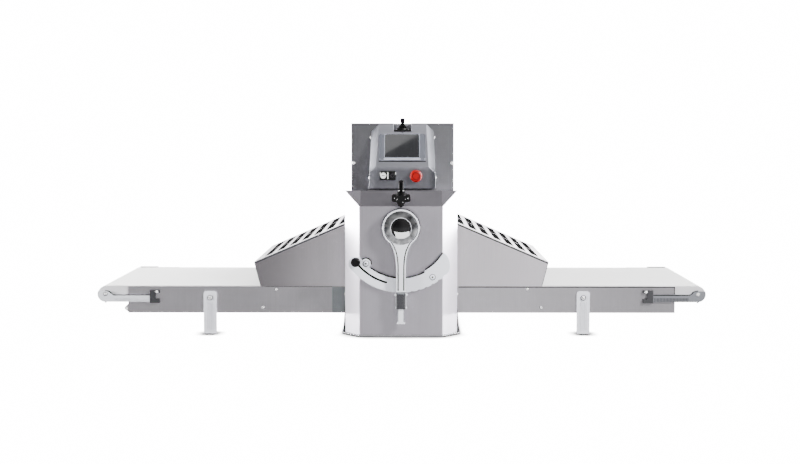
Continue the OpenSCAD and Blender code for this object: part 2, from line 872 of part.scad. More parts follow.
module roller_lower_gears() {
    color("darkslategray") {
        wheel_on_shaft(left_chain_y - layer_w, sprocket_points(table_sprocket_r));
        wheel_on_shaft(right_chain_y - layer_w, sprocket_points(table_sprocket_r));
        wheel_on_shaft(main_chain_y, sprocket_points(main_sprocket_r));
        translate([0, 0, lower_z]) xz(gear_y, gear_y + layer_w) difference() {
            rotate(gear_dir) polygon(gear_points(gear_teeth, gear_r, 3, 4.2, 3.6, 1.4));
            circle(r = shaft_r + eps);
        }
    }
}

module jack_shaft() {
    color("slategray") {
        bar_y(jack_x, upper_z, plate_y, gear_y + layer_w, drum_shaft_r);
        sprocket(jack_x, upper_z, upper_chain_y, upper_sprocket_r);
        translate([jack_x, 0, upper_z]) xz(gear_y, gear_y + layer_w)
            rotate(gear_dir + 180 + 180 / gear_teeth)
                polygon(gear_points(gear_teeth, gear_r, 3, 4.2, 3.6, 1.4));
    }
}

module upper_chain() {
    color("black") xz(upper_chain_y + 1.5, upper_chain_y + layer_w - 1.5)
        chain_loop(0, upper_z, upper_sprocket_r + chain_room, jack_x, upper_z, upper_sprocket_r + gap);
}

module drive_chains() {
    r0 = table_sprocket_r + gap;
    r1 = drum_sprocket_r + gap;
    color("black") {
        xz(left_chain_y - layer_w + 1.5, left_chain_y - 1.5)
            chain_loop(0, lower_z, r0, -drum_x, drum_z, r1);
        xz(right_chain_y - layer_w + 1.5, right_chain_y - 1.5)
            chain_loop(0, lower_z, r0, drum_x, drum_z, r1);
        xz(main_chain_y + 1.5, main_chain_y + layer_w - 1.5)
            chain_loop(0, lower_z, main_sprocket_r + gap, motor_x, motor_z, motor_sprocket_r + gap);
    }
}

module bearing_block() {
    low = upper_z - block_h;
    high = upper_z + block_h;
    difference() {
        union() {
            box([-block_half, block_in_y, low], [block_half, plate_y - gap, high]);
            box([rack_base_x, block_in_y, high - 1], [block_half, plate_y - gap, rack_top_z]);
            for (i = [-5 : 5])
                xz(block_in_y, plate_y - gap) translate([rack_base_x, pivot_z + i * rack_pitch]) polygon([
                    [1, -2.4], [0, -2.4], [-tooth_out - tooth_in, -0.9], [-tooth_out - tooth_in, 0.9],
                    [0, 2.4], [1, 2.4]]);
        }
        bar_y(0, upper_z, block_in_y - 1, plate_y, shaft_r + fit);
    }
}

module bearing_blocks() {
    color("burlywood") for (end = [-1, 1]) at_end(end)
        bearing_block();
}

// A scraper: a blade that just clears its roller, on a square bar between its two ends
module scraper(z, dir, half) {
    reach = roller_r + 0.3;
    tip = [reach * sin(20), z + dir * reach * cos(20)];
    foot = [tip[0] + 26, tip[1] + dir * 14];
    xz(-half, half) polygon([tip, foot, foot + [-1, dir * 2], tip + [0, dir * 2]]);
    xz(-half, half) translate(foot - [2, 6]) square(12);
}

module scrapers_upper() {
    color("whitesmoke") for (side = [-1, 1]) on_side(side) scraper_upper();
}

module scraper_upper() {
    reach = roller_r + 0.3;
    tip = [reach * sin(50), upper_z + reach * cos(50)];
    xz(-block_in_y + 2, block_in_y - 2) polygon([tip, tip + [12, -14], tip + [15, -14], tip + [3, 2]]);
    xz(-block_in_y, block_in_y) translate(tip + [10, -24]) square([block_half - tip[0] - 10, 12]);
}

module scrapers_lower() {
    color("whitesmoke") for (side = [-1, 1]) on_side(side) {
        scraper(lower_z, -1, roller_half - 2);
        box([roller_r * sin(20) + 25, -plate_y, lower_z - roller_r - 24],
            [roller_r * sin(20) + 33, plate_y, lower_z - roller_r - 12]);
    }
}

module gear_motor() {
    plate = 6;
    box_y = main_chain_y + layer_w + 3;
    deep = back_y - cover_t - 4;
    color("steelblue") {
        difference() {
            union() {
                box([motor_x - gearbox_half, box_y, motor_z - 44],
                    [motor_x + gearbox_half, deep - 6, motor_z + 112]);
                box([motor_x - 62, box_y, motor_z - 50], [motor_x + 62, box_y + plate, motor_z + 50]);
                for (dx = [-55, 55], dz = [-42, 42])
                    bar_y(motor_x + dx, motor_z + dz, plate_out_y, box_y + 1, 6);
            }
            bar_y(motor_x, motor_z, box_y - 1, deep - 20, 8 + fit);
        }
        difference() {
            bar_x(deep - motor_r - 4, motor_z + 70, motor_x + gearbox_half - 1, motor_end_x, motor_r);
            for (i = [0 : 7])
                bar_x_groove(deep - motor_r - 4, motor_z + 70, motor_x + gearbox_half + 30 + i * 18);
        }
    }
}

// A cooling groove turned into the motor's body
module bar_x_groove(y, z, x) {
    difference() {
        bar_x(y, z, x, x + 8, motor_r + 2);
        bar_x(y, z, x - 1, x + 9, motor_r - 4);
    }
}

module motor_sprocket() {
    color("darkslategray") {
        bar_y(motor_x, motor_z, main_chain_y, main_chain_y + layer_w + 20, 8);
        sprocket(motor_x, motor_z, main_chain_y, motor_sprocket_r, 10);
    }
}

module control_unit() {
    color("dimgray") {
        half = rear_w / 2 - 33;
        box([-half, plate_out_y, rear_h - 185], [half, plate_out_y + 60, rear_h - 55]);
        for (i = [0 : 9])
            box([-half + 10 + i * 30, plate_out_y + 59, rear_h - 175],
                [-half + 16 + i * 30, plate_out_y + 72, rear_h - 65]);
    }
}

// Console

// Cuts away what lies outside a slanted upper corner of the console
module bevel_cut(inset) {
    normal = [sin(console_lean), -(1 - bevel_slope) * cos(console_lean), sin(console_lean)];
    tilt = acos(normal[2] / norm(normal));
    turn = atan2(normal[1], normal[0]);
    translate([console_half - console_bevel, console_y, fold_z]) rotate([0, tilt, turn])
        translate([-400, -400, -inset]) cube([800, 800, 400]);
}

module console_body(inset) {
    over = inset > 0 ? 1 : 0;
    lean_in = inset / cos(console_lean);
    low = console_side(console_z) - inset;
    high = console_side(rear_h) - inset;
    difference() {
        intersection() {
            yz(-console_half, console_half) polygon([
                [plate_y + over, console_z + inset], [console_y + inset, console_z + inset],
                [console_y + inset, fold_z + (inset - lean_in) / tan(console_lean)],
                [panel_y(rear_h - 1) + over, rear_h - 1 + (over - lean_in) / tan(console_lean)],
                [plate_y + over, rear_h - 1 - lean_in]]);
            xz(0, back_y) polygon([[-low, console_z], [low, console_z], [high, rear_h], [-high, rear_h]]);
        }
        for (side = [-1, 1]) on_side(side) bevel_cut(inset);
    }
}

// Moves a piece drawn flat on the display panel, centred at height z, onto it
module on_panel(z) {
    translate([0, panel_y(z), z]) rotate([90 - console_lean, 0, 0]) children();
}

module console_shell() {
    color("silver") difference() {
        union() {
            difference() {
                console_body(0);
                console_body(cover_t);
            }
            intersection() {
                console_body(0);
                pocket_lining();
            }
        }
        pocket_cut();
        on_panel(display_z) translate([-bezel_w / 2 + 16, -bezel_h / 2 + 10, -cover_t - 2])
            cube([bezel_w - 32, bezel_h - 20, cover_t + 4]);
    }
}

module glass_box(margin, low, high) {
    translate([glass_at[0], glass_at[1], 0])
        box([margin - glass_w / 2, margin - glass_h / 2, low],
            [glass_w / 2 - margin, glass_h / 2 - margin, high]);
}

module display_frame() {
    color("gainsboro") on_panel(display_z) difference() {
        union() {
            translate([-bezel_w / 2, -bezel_h / 2, 0]) cube([bezel_w, bezel_h, 5]);
            translate([-bezel_w / 2 + 18, -bezel_h / 2 + 12, -18]) cube([bezel_w - 36, bezel_h - 24, 19]);
        }
        glass_box(0, 3, 6);
    }
}

module display_glass() {
    color("darkslategray") on_panel(display_z)
        glass_box(gap, 3, 4.5);
}

module switch_block() {
    color("black") translate([switch_at[0], 0, switch_at[1]]) difference() {
        box([-27.5, console_y - 8, -16], [27.5, console_y, 16]);
        for (side = [-1, 1])
            bar_y(side * button_step, 0, console_y - 9, console_y + 1, button_d / 2 + gap);
    }
}

module button(side) {
    translate([switch_at[0] + side * button_step, 0, switch_at[1]])
        bar_y(0, 0, console_y - 11, console_y - 4.5, button_d / 2);
}

module start_button() {
    color("white") button(-1);
}

module stop_button() {
    color("dimgray") button(1);
}

module estop_collar() {
    color("dimgray") translate([estop_at[0], 0, estop_at[1]]) difference() {
        bar_y(0, 0, console_y - 7, console_y, 15);
        bar_y(0, 0, console_y - 8, console_y + 1, 9 + gap);
    }
}

module estop_button() {
    color("red") translate([estop_at[0], 0, estop_at[1]]) {
        bar_y(0, 0, console_y - 14, console_y - 5.5, 9);
        translate([0, console_y - 13, 0]) rotate([90, 0, 0]) {
            cylinder(h = 9, r = estop_d / 2);
            translate([0, 0, 9]) cylinder(h = 5, r1 = estop_d / 2, r2 = estop_d / 2 - 7);
        }
    }
}

// Joysticks: one on the front cover's slanted flange, one in the pocket on top of the rear housing

front_stick = [0, -plate_out_y - front_depth / 2, front_h + front_rise / 2];
top_stick = [0, plate_y + 17, pocket_floor(plate_y + 17)];

module joystick_base() {
    difference() {
        union() {
            linear_extrude(4) {
                polygon([[0, -40], [20, -8], [20, 8], [0, 26], [-20, 8], [-20, -8]]);
                for (side = [-1, 1]) translate([side * 20, 0]) circle(r = 9.5);
            }
            cylinder(h = 11, r = 20);
        }
        translate([0, 0, 4]) cylinder(h = 8, r = 18);
    }
    for (end = [-1, 1]) at_end(end)
        box([-3, ear_y, 3], [3, ear_y + ear_t, pin_h + pin_r]);
    bar_y(0, pin_h, -ear_y - ear_t + eps, ear_y + ear_t - eps, pin_r);
}

module joystick_bases() {
    color("black") {
        translate(front_stick) rotate([rise_angle, 0, 0]) joystick_base();
        translate(top_stick) rotate([pocket_slope, 0, 0]) joystick_base();
    }
}

// A joystick tilts on the pin of its base: a hub on the pin, a ribbed boot around it and a round handle
module joystick(len) {
    low = pin_h - 2;
    high = pin_h + 4;
    rib = (len * 0.4 - 4) / 4;
    hub = ear_y - gap;
    difference() {
        union() {
            translate([0, 0, low]) rotate_extrude() polygon(concat(
                [[0, 0]],
                [for (i = [0 : 3]) let (r = boot_r - i * 2.2) each [[r, i * rib], [r - 1.5, (i + 0.6) * rib]]],
                [[stick_d / 2 - 1, len * 0.4 - 4], [stick_d / 2, len - 12], [stick_d / 2, len - 11],
                 [stick_d / 2 - 2, len - 9], [0, len - 9]]));
            bar_y(0, pin_h, -hub, hub, high - pin_h + 1);
        }
        difference() {
            translate([0, 0, -1]) cylinder(h = high + 1, r = cavity_r);
            bar_y(0, pin_h, -hub, hub, high - pin_h + 1);
        }
        bar_y(0, pin_h, -hub - 1, hub + 1, pin_r + fit);
    }
}

module stick_front() {
    color("black") translate(front_stick) rotate([rise_angle, 0, 0]) joystick(stick_len);
}

module stick_top() {
    color("black") translate(top_stick) rotate([pocket_slope, 0, 0]) joystick(top_stick_len);
}

// Gap lever

// Half width of the lever at a distance s below its pivot, from the ring down to the arm
neck_from = 26;
neck_len = 110;
function neck_half(s) =
    arm_w / 2 + (ring_d * 0.43 - arm_w / 2) * pow(1 - min(1, (s - neck_from) / neck_len), 3);

module gap_lever() {
    shoulder = trigger_top + gap;
    tongue = arm_w * 0.34;
    side_line = concat(
        [for (i = [0 : 14]) let (s = neck_from + i * neck_len / 14) [neck_half(s), pivot_z - s]],
        [[arm_w / 2, shoulder + 4], [arm_w / 2 - 3, shoulder], [tongue, shoulder], [tongue, lever_end_z + 8],
         [tongue + 3, lever_end_z + 4], [tongue + 3, lever_end_z]]);
    color("lightgray") difference() {
        union() {
            bar_y(0, pivot_z, lever_front_y, lever_back_y, ring_d / 2);
            xz(lever_front_y + 2, lever_back_y) polygon(concat(
                side_line, [for (i = [len(side_line) - 1 : -1 : 0]) [-side_line[i][0], side_line[i][1]]]));
        }
        bar_y(0, pivot_z, lever_front_y - 1, lever_back_y + 1, ring_bore / 2);
    }
}

module lever_hub() {
    r = ring_bore / 2 - eps;
    color("black") {
        translate([0, lever_front_y, pivot_z]) rotate([90, 0, 0]) cylinder(h = 8, r1 = r, r2 = r - 7);
        bar_y(0, pivot_z, lever_front_y, lever_back_y, r);
    }
}

module lever_shaft() {
    color("silver") {
        bar_y(0, pivot_z, lever_back_y, plate_out_y + 2, shaft_r);
        bar_y(0, pivot_z, lever_back_y, lever_back_y + 8, shaft_r + 8);
    }
}

module pinions() {
    step = 360 / pinion_teeth;
    color("goldenrod") for (end = [-1, 1]) at_end(end)
        translate([0, 0, pivot_z]) xz(block_in_y, plate_y - gap) difference() {
            rotate(step / 2)
                polygon(gear_points(pinion_teeth, pinion_r, tooth_out, tooth_in, step * 0.3, step * 0.11));
            circle(r = shaft_r + eps);
        }
}

module lever_trigger() {
    half = arm_w / 2 - 1;
    clear_half = arm_w * 0.34 + gap;
    low = trigger_top - 49;
    color("dimgray") difference() {
        union() {
            box([-half, lever_front_y - 3, low], [half, lever_back_y + 4, trigger_top]);
            for (at = [[trigger_top - 5, half + 5], [low + 4, half + 3]])
                bar_x(lever_mid_y, at[0], -at[1], at[1], 3.5);
            bar_y(0, pawl_z, lever_back_y + gap, face_y - arc_off + 2, pawl_r);
        }
        box([-clear_half, lever_front_y + 2 - gap, low - 1], [clear_half, lever_back_y + gap, trigger_top + 1]);
    }
}

module stop_slide() {
    color("silver") translate([-slot_r * sin(knob_angle), 0, pivot_z - slot_r * cos(knob_angle)]) {
        bar_y(0, 0, face_y - arc_off - arc_t - 6, face_y - arc_off + 1, slot_half - gap);
        bar_y(0, 0, face_y - arc_off + gap, face_y - 2, 7);
    }
}

module stop_knob() {
    color("black") translate([-slot_r * sin(knob_angle), 0, pivot_z - slot_r * cos(knob_angle)]) difference() {
        union() {
            bar_y(0, 0, face_y - arc_off - arc_t - 12, face_y - arc_off - arc_t - gap, knob_d / 3);
            bar_y(0, 0, face_y - arc_off - arc_t - 28, face_y - arc_off - arc_t - 10, knob_d / 2);
        }
        bar_y(0, 0, face_y - arc_off - arc_t - 6.5, face_y - arc_off, slot_half - gap + fit);
    }
}

base_plate();
feet();
side_plate_front();
side_plate_rear();
tie_rods();
bearings();
slide_guides();
front_cover();
rear_cover();
bridge_cover();
hood_pins();
arc_plate();
screws();
cable_inlet();
table_rails();
rail_brackets();
table_beds();
conveyor_belts();
nose_cheeks();
takeup_clips();
scrapers_lower();
gear_motor();
drive_chains();
control_unit();
console_shell();
display_frame();
display_glass();
switch_block();
estop_collar();
joystick_bases();
gap_lever();
lever_hub();
lever_shaft();
pinions();
lever_trigger();
stop_slide();
stop_knob();
bearing_blocks();
scrapers_upper();
roller_upper();
roller_lower();
roller_lower_gears();
drum_left();
drum_right();
nose_roller_left();
nose_roller_right();
takeup_arms_left();
takeup_arms_right();
leg_left();
leg_right();
hood_left();
hood_right();
start_button();
stop_button();
estop_button();
stick_front();
stick_top();
motor_sprocket();
jack_shaft();
upper_chain();
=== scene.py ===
import math
import bpy
import bmesh
from mathutils import Matrix, Vector


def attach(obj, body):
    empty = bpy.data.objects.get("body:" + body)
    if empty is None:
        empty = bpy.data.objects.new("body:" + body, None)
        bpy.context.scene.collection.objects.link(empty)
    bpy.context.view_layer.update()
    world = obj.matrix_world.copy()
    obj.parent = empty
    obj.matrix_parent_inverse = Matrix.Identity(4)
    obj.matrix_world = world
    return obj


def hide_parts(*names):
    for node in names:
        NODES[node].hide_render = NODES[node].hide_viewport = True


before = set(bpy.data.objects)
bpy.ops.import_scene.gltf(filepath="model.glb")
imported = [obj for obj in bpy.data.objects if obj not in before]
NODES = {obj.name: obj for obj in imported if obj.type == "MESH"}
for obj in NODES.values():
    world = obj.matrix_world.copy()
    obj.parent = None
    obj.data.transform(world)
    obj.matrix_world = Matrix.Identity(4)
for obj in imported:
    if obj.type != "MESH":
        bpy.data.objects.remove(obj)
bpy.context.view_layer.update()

# Photographer's bench and light.
# A white sweep that the camera sees as pure white, bright walls at both sides and behind, a dimmer room in
# front and a grey ceiling: that is what gives flat stainless its calm mid grey and its folds their white.


def linear(hex_code):
    """An sRGB hex colour as a linear one."""
    parts = [int(hex_code[i:i + 2], 16) / 255 for i in (1, 3, 5)]
    return [p / 12.92 if p <= 0.04045 else ((p + 0.055) / 1.055) ** 2.4 for p in parts] + [1.0]


def wire(node, links=(), **settings):
    """Sets up a node. A link is a number, a node (its first output) or an output. A setting named after an input sets
    its value; the others are the node's own."""
    for name, value in settings.items():
        if hasattr(node, name):
            setattr(node, name, value)
        else:
            node.inputs[name.replace("_", " ")].default_value = value
    for target, source in dict(links).items():
        if isinstance(source, float):
            node.inputs[target].default_value = source
        else:
            node.id_data.links.new(getattr(source, "outputs", [source])[0], node.inputs[target])
    return node


def add(tree, kind, links=(), **settings):
    """One more node."""
    return wire(tree.nodes.new("ShaderNode" + kind), links, **settings)


def finish_of(name, colour, metallic, roughness):
    """A material with the shader's plain values set; returns it with its tree and shader."""
    material = bpy.data.materials.new(name)
    material.use_nodes = True
    tree = material.node_tree
    shader = wire(tree.nodes["Principled BSDF"], Base_Color=linear(colour), Metallic=metallic, Roughness=roughness)
    return material, tree, shader


scene = bpy.context.scene
link = scene.collection.objects.link
camera_data = bpy.data.cameras.new("photo_camera")
camera_data.sensor_width = 36.0
camera_data.lens = 71.46
camera_data.clip_end = 60.0
camera = bpy.data.objects.new("photo_camera", camera_data)
link(camera)
camera.location = (0.034, -5.346, 0.674)
camera.rotation_euler = (math.radians(90 - 3.998), 0.0, math.radians(0.433))
scene.camera = camera

world = bpy.data.worlds.new("white_studio")
scene.world = world
world.use_nodes = True
sky = world.node_tree
sky.nodes.clear()
way = add(sky, "SeparateXYZ", {0: add(sky, "TexCoord").outputs["Generated"]})
sideways = add(sky, "Math", {0: way.outputs["X"]}, operation="ABSOLUTE")
# How bright each part of the room is; it rises or falls smoothly as the direction turns.
ramps = {}
for name, along, start, stop, low, high in (
    ("side_walls", sideways, 0.50, 0.80, 0.0, 42.0),
    ("side_walls_end", way.outputs["Y"], -0.08, 0.22, 0.0, 1.0),
    ("rear_wall", way.outputs["Y"], 0.15, 0.80, 0.0, 4.5),
    ("walls_height", way.outputs["Z"], 0.25, 0.75, 1.0, 0.05),
    ("front_room", way.outputs["X"], -0.15, 0.13, 0.05, 0.90),
    ("front_height", way.outputs["Z"], 0.05, 0.60, 0.60, 0.95),
    ("front_end", way.outputs["Y"], -0.3, 0.4, 1.0, 0.2),
):
    ramps[name] = add(sky, "MapRange", {"Value": along}, interpolation_type="SMOOTHSTEP",
                      From_Min=start, From_Max=stop, To_Min=low, To_Max=high)
room = None
for first, *others in (("side_walls", "walls_height", "side_walls_end"), ("rear_wall", "walls_height"),
                       ("front_room", "front_height", "front_end")):
    lit = ramps[first]
    for other in others:
        lit = add(sky, "Math", {0: lit, 1: ramps[other]}, operation="MULTIPLY")
    room = add(sky, "Math", {0: room, 1: lit}, operation="ADD") if room else lit
room_light = add(sky, "Background", {"Strength": room}, Color=(1, 1, 1, 1))
white = add(sky, "Background", Color=(1, 1, 1, 1), Strength=16.0)
seen = add(sky, "LightPath")
either = add(sky, "MixShader", {0: seen.outputs["Is Camera Ray"], 1: room_light, 2: white})
add(sky, "OutputWorld", {0: either})

bench_mesh = bpy.data.meshes.new("worktop")
bench_mesh.from_pydata([(-9, -9, 0), (9, -9, 0), (9, 9, 0), (-9, 9, 0)], [], [(0, 1, 2, 3)])
bench = bpy.data.objects.new("worktop", bench_mesh)
link(bench)
# Pale laminate: the camera sees it white, with painted shade where something stands on it: a soft dark line from
# occlusion, and a painted shadow patch at the foot of each front leg.
laminate, tree, shader = finish_of("pale_laminate", "#000000", 0.0, 0.8)
on_bench = add(tree, "TexCoord").outputs["Object"]
spot = add(tree, "SeparateXYZ", {0: on_bench})
sideways = add(tree, "Math", {0: spot.outputs["X"]}, operation="ABSOLUTE")
across, behind, outside = (
    add(tree, "MapRange", {"Value": along}, interpolation_type="SMOOTHSTEP",
        From_Min=start, From_Max=stop, To_Min=low, To_Max=high)
    for along, start, stop, low, high in (
        (spot.outputs["X"], -0.9, 0.9, 0.40, 0.96),
        (spot.outputs["Y"], -0.1, 0.4, 0.0, 42.0),
        (sideways, 0.8, 1.6, 0.0, 1.0)))
both_sides = add(tree, "Math", {0: behind, 1: outside}, operation="MULTIPLY")
lit = add(tree, "Math", {0: across, 1: both_sides}, operation="ADD")
wire(shader, {"Emission Strength": lit}, Emission_Color=(1, 1, 1, 1))
shade = add(tree, "AmbientOcclusion", samples=16, Distance=0.06)
open_sky = add(tree, "MapRange", {"Value": shade.outputs["AO"]}, From_Min=0.05, From_Max=0.93)
steep = add(tree, "Math", {0: open_sky, 1: 3.0}, operation="POWER")
level = add(tree, "MapRange", {"Value": steep}, To_Min=0.15, To_Max=16.0)
close = add(tree, "AmbientOcclusion", samples=16, Distance=0.07)
shaded = add(tree, "MapRange", {"Value": close.outputs["AO"]}, From_Min=0.92, From_Max=1.0, To_Min=1.0, To_Max=0.0)
LEG_FOOT_Y, SHADE_WIDE, SHADE_DEEP = -0.335, 0.052, 0.15
for foot_x in (-0.607, 0.577):
    # A painted shadow patch at the foot of a front leg, reaching further out than the housing's shade; nothing shows
    # when the leg is folded.
    leg_shadow = add(tree, "Mapping", {"Vector": on_bench}, Location=(-foot_x / SHADE_WIDE, -LEG_FOOT_Y / SHADE_DEEP, 0),
                Scale=(1 / SHADE_WIDE, 1 / SHADE_DEEP, 0))
    away = add(tree, "VectorMath", {0: leg_shadow}, operation="LENGTH")
    near = add(tree, "MapRange", {"Value": away.outputs["Value"]}, To_Min=0.04)
    cubed = add(tree, "Math", {0: near, 1: 3.0}, operation="POWER")
    less = add(tree, "Math", {0: cubed, 1: 1.0}, operation="SUBTRACT")
    kept = add(tree, "Math", {0: less, 1: shaded, 2: 1.0}, operation="MULTIPLY_ADD")
    level = add(tree, "Math", {0: level, 1: kept}, operation="MULTIPLY")
glow = add(tree, "Emission", {"Strength": level}, Color=(1, 1, 1, 1))
seen = add(tree, "LightPath")
both = add(tree, "MixShader", {0: seen.outputs["Is Camera Ray"], 1: shader, 2: glow})
wire(tree.nodes["Material Output"], {"Surface": both})
bench_mesh.materials.append(laminate)

for name, place, aim, size, watts, mirrored in (
    ("top_box", (0.3, 0.2, 2.6), (0, 0, 0.2), (3.0, 1.6), 85, False),
    ("key_box", (2.4, -2.2, 1.9), (0, -0.4, 0.3), (0.5, 0.5), 240, True),
    ("fill_box", (-3.2, -1.6, 0.9), (-0.5, -0.3, 0.2), (1.5, 1.2), 250, False),
):
    lamp = bpy.data.lights.new(name, "AREA")
    lamp.shape = "RECTANGLE"
    lamp.size, lamp.size_y = size
    lamp.energy = watts
    holder = bpy.data.objects.new(name, lamp)
    link(holder)
    holder.location = place
    holder.rotation_euler = (Vector(aim) - Vector(place)).to_track_quat("-Z", "Y").to_euler()
    holder.visible_camera = False
    holder.visible_glossy = mirrored

# A white card over the console, matt and lit from within: its slanted edge shows in the display glass.
card_mesh = bpy.data.meshes.new("slant_card")
corners = [(-0.142, -0.789, 2.268), (0.116, -0.668, 2.343), (0.116, -0.591, 2.389), (-0.139, -0.59, 2.387)]
card_mesh.from_pydata(corners, [], [(0, 1, 2, 3)])
card = bpy.data.objects.new("slant_card", card_mesh)
link(card)
card_white, tree, shader = finish_of("card_white", "#000000", 0.0, 1.0)
wire(shader, Emission_Color=(1, 1, 1, 1), Emission_Strength=2.4)
card_mesh.materials.append(card_white)
card.visible_camera = False

# Housing.
# Front cover, rear cover and the bridge cover between them are folded from 2 mm stainless sheet with a long-grain
# brushed finish, screwed to two thick steel side plates on a base plate. Each fold has a bright rounded line.


def grain(tree, along, line_mm):
    """Noise drawn out along one axis, as brushing leaves it; line_mm is the width of its lines.

    Real brushing is 0.1 to 0.2 mm wide, too fine to show, so the lines are drawn 0.5 mm wide or more."""
    stretch = [1000 / line_mm] * 3
    stretch["xyz".index(along)] /= 150
    scaled = add(tree, "Mapping", {"Vector": add(tree, "TexCoord").outputs["Object"]}, Scale=stretch)
    return add(tree, "TexNoise", {"Vector": scaled}, Scale=1.0, Detail=4.0, Roughness=0.6)


def brushed(name, colour, roughness, along, line_mm=0.9, metallic=1.0, depth=0.25):
    """Brushed metal: fine lines in its tone, gloss and relief, and a faint cloudiness from handling."""
    material, tree, shader = finish_of(name, colour, metallic, roughness)
    lines = grain(tree, along, line_mm)
    cloud = add(tree, "TexNoise", {"Vector": add(tree, "TexCoord").outputs["Object"]}, Scale=7.0, Detail=2.0)
    dull = add(tree, "MapRange", {"Value": cloud}, From_Min=0.3, From_Max=0.7,
               To_Min=roughness - 0.03, To_Max=roughness + 0.03)
    gloss = add(tree, "MapRange", {"Value": lines}, From_Min=0.3, From_Max=0.7, To_Min=-0.05, To_Max=0.05)
    total = add(tree, "Math", {0: dull, 1: gloss}, operation="ADD")
    *even, opaque = linear(colour)
    tone = add(tree, "MixRGB", {"Fac": lines}, Color1=[c * 0.88 for c in even] + [opaque],
               Color2=[min(c * 1.08, 1) for c in even] + [opaque])
    relief = add(tree, "Bump", {"Height": lines}, Strength=depth, Distance=0.0002)
    wire(shader, {"Roughness": total, "Base Color": tone, "Normal": relief})
    return material


def fade(material, axis, start, stop, low, high):
    """Lets a finish grow lighter or darker along one axis, from start to stop in metres."""
    tree = material.node_tree
    tinted = tree.nodes["Principled BSDF"].inputs["Base Color"]
    spot = add(tree, "SeparateXYZ", {0: add(tree, "TexCoord").outputs["Object"]})
    level = add(tree, "MapRange", {"Value": spot.outputs[axis]}, interpolation_type="SMOOTHSTEP",
                From_Min=start, From_Max=stop, To_Min=low, To_Max=high)
    mixed = add(tree, "MixRGB", {"Color1": tinted.links[0].from_socket, "Color2": level},
                blend_type="MULTIPLY", Fac=1.0)
    tree.links.new(mixed.outputs[0], tinted)


def dress(node, material, edge_mm):
    """Gives a CAD node its finish, and rounds its edges as deburring does."""
    part = NODES[node]
    part.data.materials.clear()
    part.data.materials.append(material)
    part.modifiers.new("joined", "WELD").merge_threshold = 0.00002
    edge = part.modifiers.new("edge", "BEVEL")
    edge.width = edge_mm / 1000
    edge.segments = 2
    edge.limit_method = "ANGLE"
    edge.angle_limit = math.radians(28)
    edge.harden_normals = True


# Upright brushing: a calm grey face that mirrors the room in streaks, a little less metallic on its upright faces
# than on the upper flange, as under a thin film. The slanted flanks carry a painted highlight: made paler and much
# less metallic, they stand in for the white of the side light that they mirror.
cover_steel = brushed("stainless_upright_grain", "#C4C0C9", 0.36, "z", metallic=0.94)
tree = cover_steel.node_tree
upright = add(tree, "SeparateXYZ", {0: add(tree, "NewGeometry").outputs["Normal"]})
film = add(tree, "MapRange", {"Value": upright.outputs["Z"]}, From_Min=0.2, From_Max=0.5, To_Min=0.88, To_Max=1.0)
flank = add(tree, "Math", {0: upright.outputs["X"]}, operation="ABSOLUTE")
flank_highlight = add(tree, "MapRange", {"Value": flank}, From_Min=0.3, From_Max=0.6, To_Min=1.0, To_Max=0.5)
film = add(tree, "Math", {0: film, 1: flank_highlight}, operation="MULTIPLY")
wire(tree.nodes["Principled BSDF"], {"Metallic": film})
# Painted highlight: the slanted flanks' colour is raised by half.
fade(cover_steel, "X", -0.130, -0.125, 1.54, 1.0)
fade(cover_steel, "X", 0.125, 0.130, 1.0, 1.48)
# Painted light: the lowest part of the cover is a little paler.
fade(cover_steel, "Z", 0.06, 0.30, 1.08, 1.0)
# Brushed from side to side, with the same sheen drawn out upwards; painted shade makes it a little darker towards the
# right.
rear_steel = brushed("stainless_cross_grain", "#C4C3C7", 0.36, "x")
fade(rear_steel, "X", -0.15, 0.15, 1.08, 0.92)
# Mill-finished plate, greyer and duller than the sheet.
plate_steel = brushed("dull_plate_steel", "#909095", 0.34, "x")
# Painted shade: a nearly black grey steel with a weak shine, seen only through gaps. It darkens the front side plates
# for the shade behind the front cover, and it draws the guards' fold lines and the right arms' dark ribs.
shade_plate = brushed("painted_shade_steel", "#4A4A4E", 0.5, "x", metallic=0.5)
# Fine-brushed bright steel with crisp highlights on its edges.
bright_steel = brushed("bright_steel", "#DCDCE0", 0.18, "x", 0.5)
for node, steel, edge_mm in (
    ("front_cover", cover_steel, 1.0), ("rear_cover", rear_steel, 1.0), ("side_plate_rear", plate_steel, 0.6),
    ("side_plate_front", shade_plate, 0.6), ("bridge_cover", rear_steel, 1.0), ("base_plate", bright_steel, 0.6),
    ("tie_rods", bright_steel, 0.5), ("hood_pins", bright_steel, 0.3),
):
    dress(node, steel, edge_mm)

# Feet and cable inlet.
# Four moulded rubber feet are screwed under the base plate. A black nylon gland with a nut closes the cable's hole
# in the rear cover. Both are moulded with a fine grain that takes off the shine.


def moulded(name, colour, roughness, grain_mm=0.6, depth=0.0002, shine=0.5):
    """Moulded plastic or rubber: an even colour with a fine spark-eroded grain in its relief and gloss.

    Such a grain is about 0.1 mm; it is drawn at grain_mm, coarser, so that it shows."""
    material, tree, shader = finish_of(name, colour, 0.0, roughness)
    place = add(tree, "TexCoord").outputs["Object"]
    pits = add(tree, "TexNoise", {"Vector": place}, Scale=1000 / grain_mm, Detail=2.0)
    wear = add(tree, "TexNoise", {"Vector": place}, Scale=18.0, Detail=3.0)
    dull = add(tree, "MapRange", {"Value": wear}, From_Min=0.3, From_Max=0.7,
               To_Min=max(roughness - 0.06, 0.02), To_Max=roughness + 0.06)
    relief = add(tree, "Bump", {"Height": pits}, Strength=0.3, Distance=depth)
    wire(shader, {"Roughness": dull, "Normal": relief}, Specular_IOR_Level=shine)
    return material


# Hard rubber, dark grey and quite matt.
foot_rubber = moulded("foot_rubber", "#1B1B1C", 0.75, 1.0)
# Black nylon with a dim, soft shine.
black_nylon = moulded("black_nylon", "#070708", 0.5, shine=0.25)
dress("feet", foot_rubber, 0.8)
dress("cable_inlet", black_nylon, 0.5)
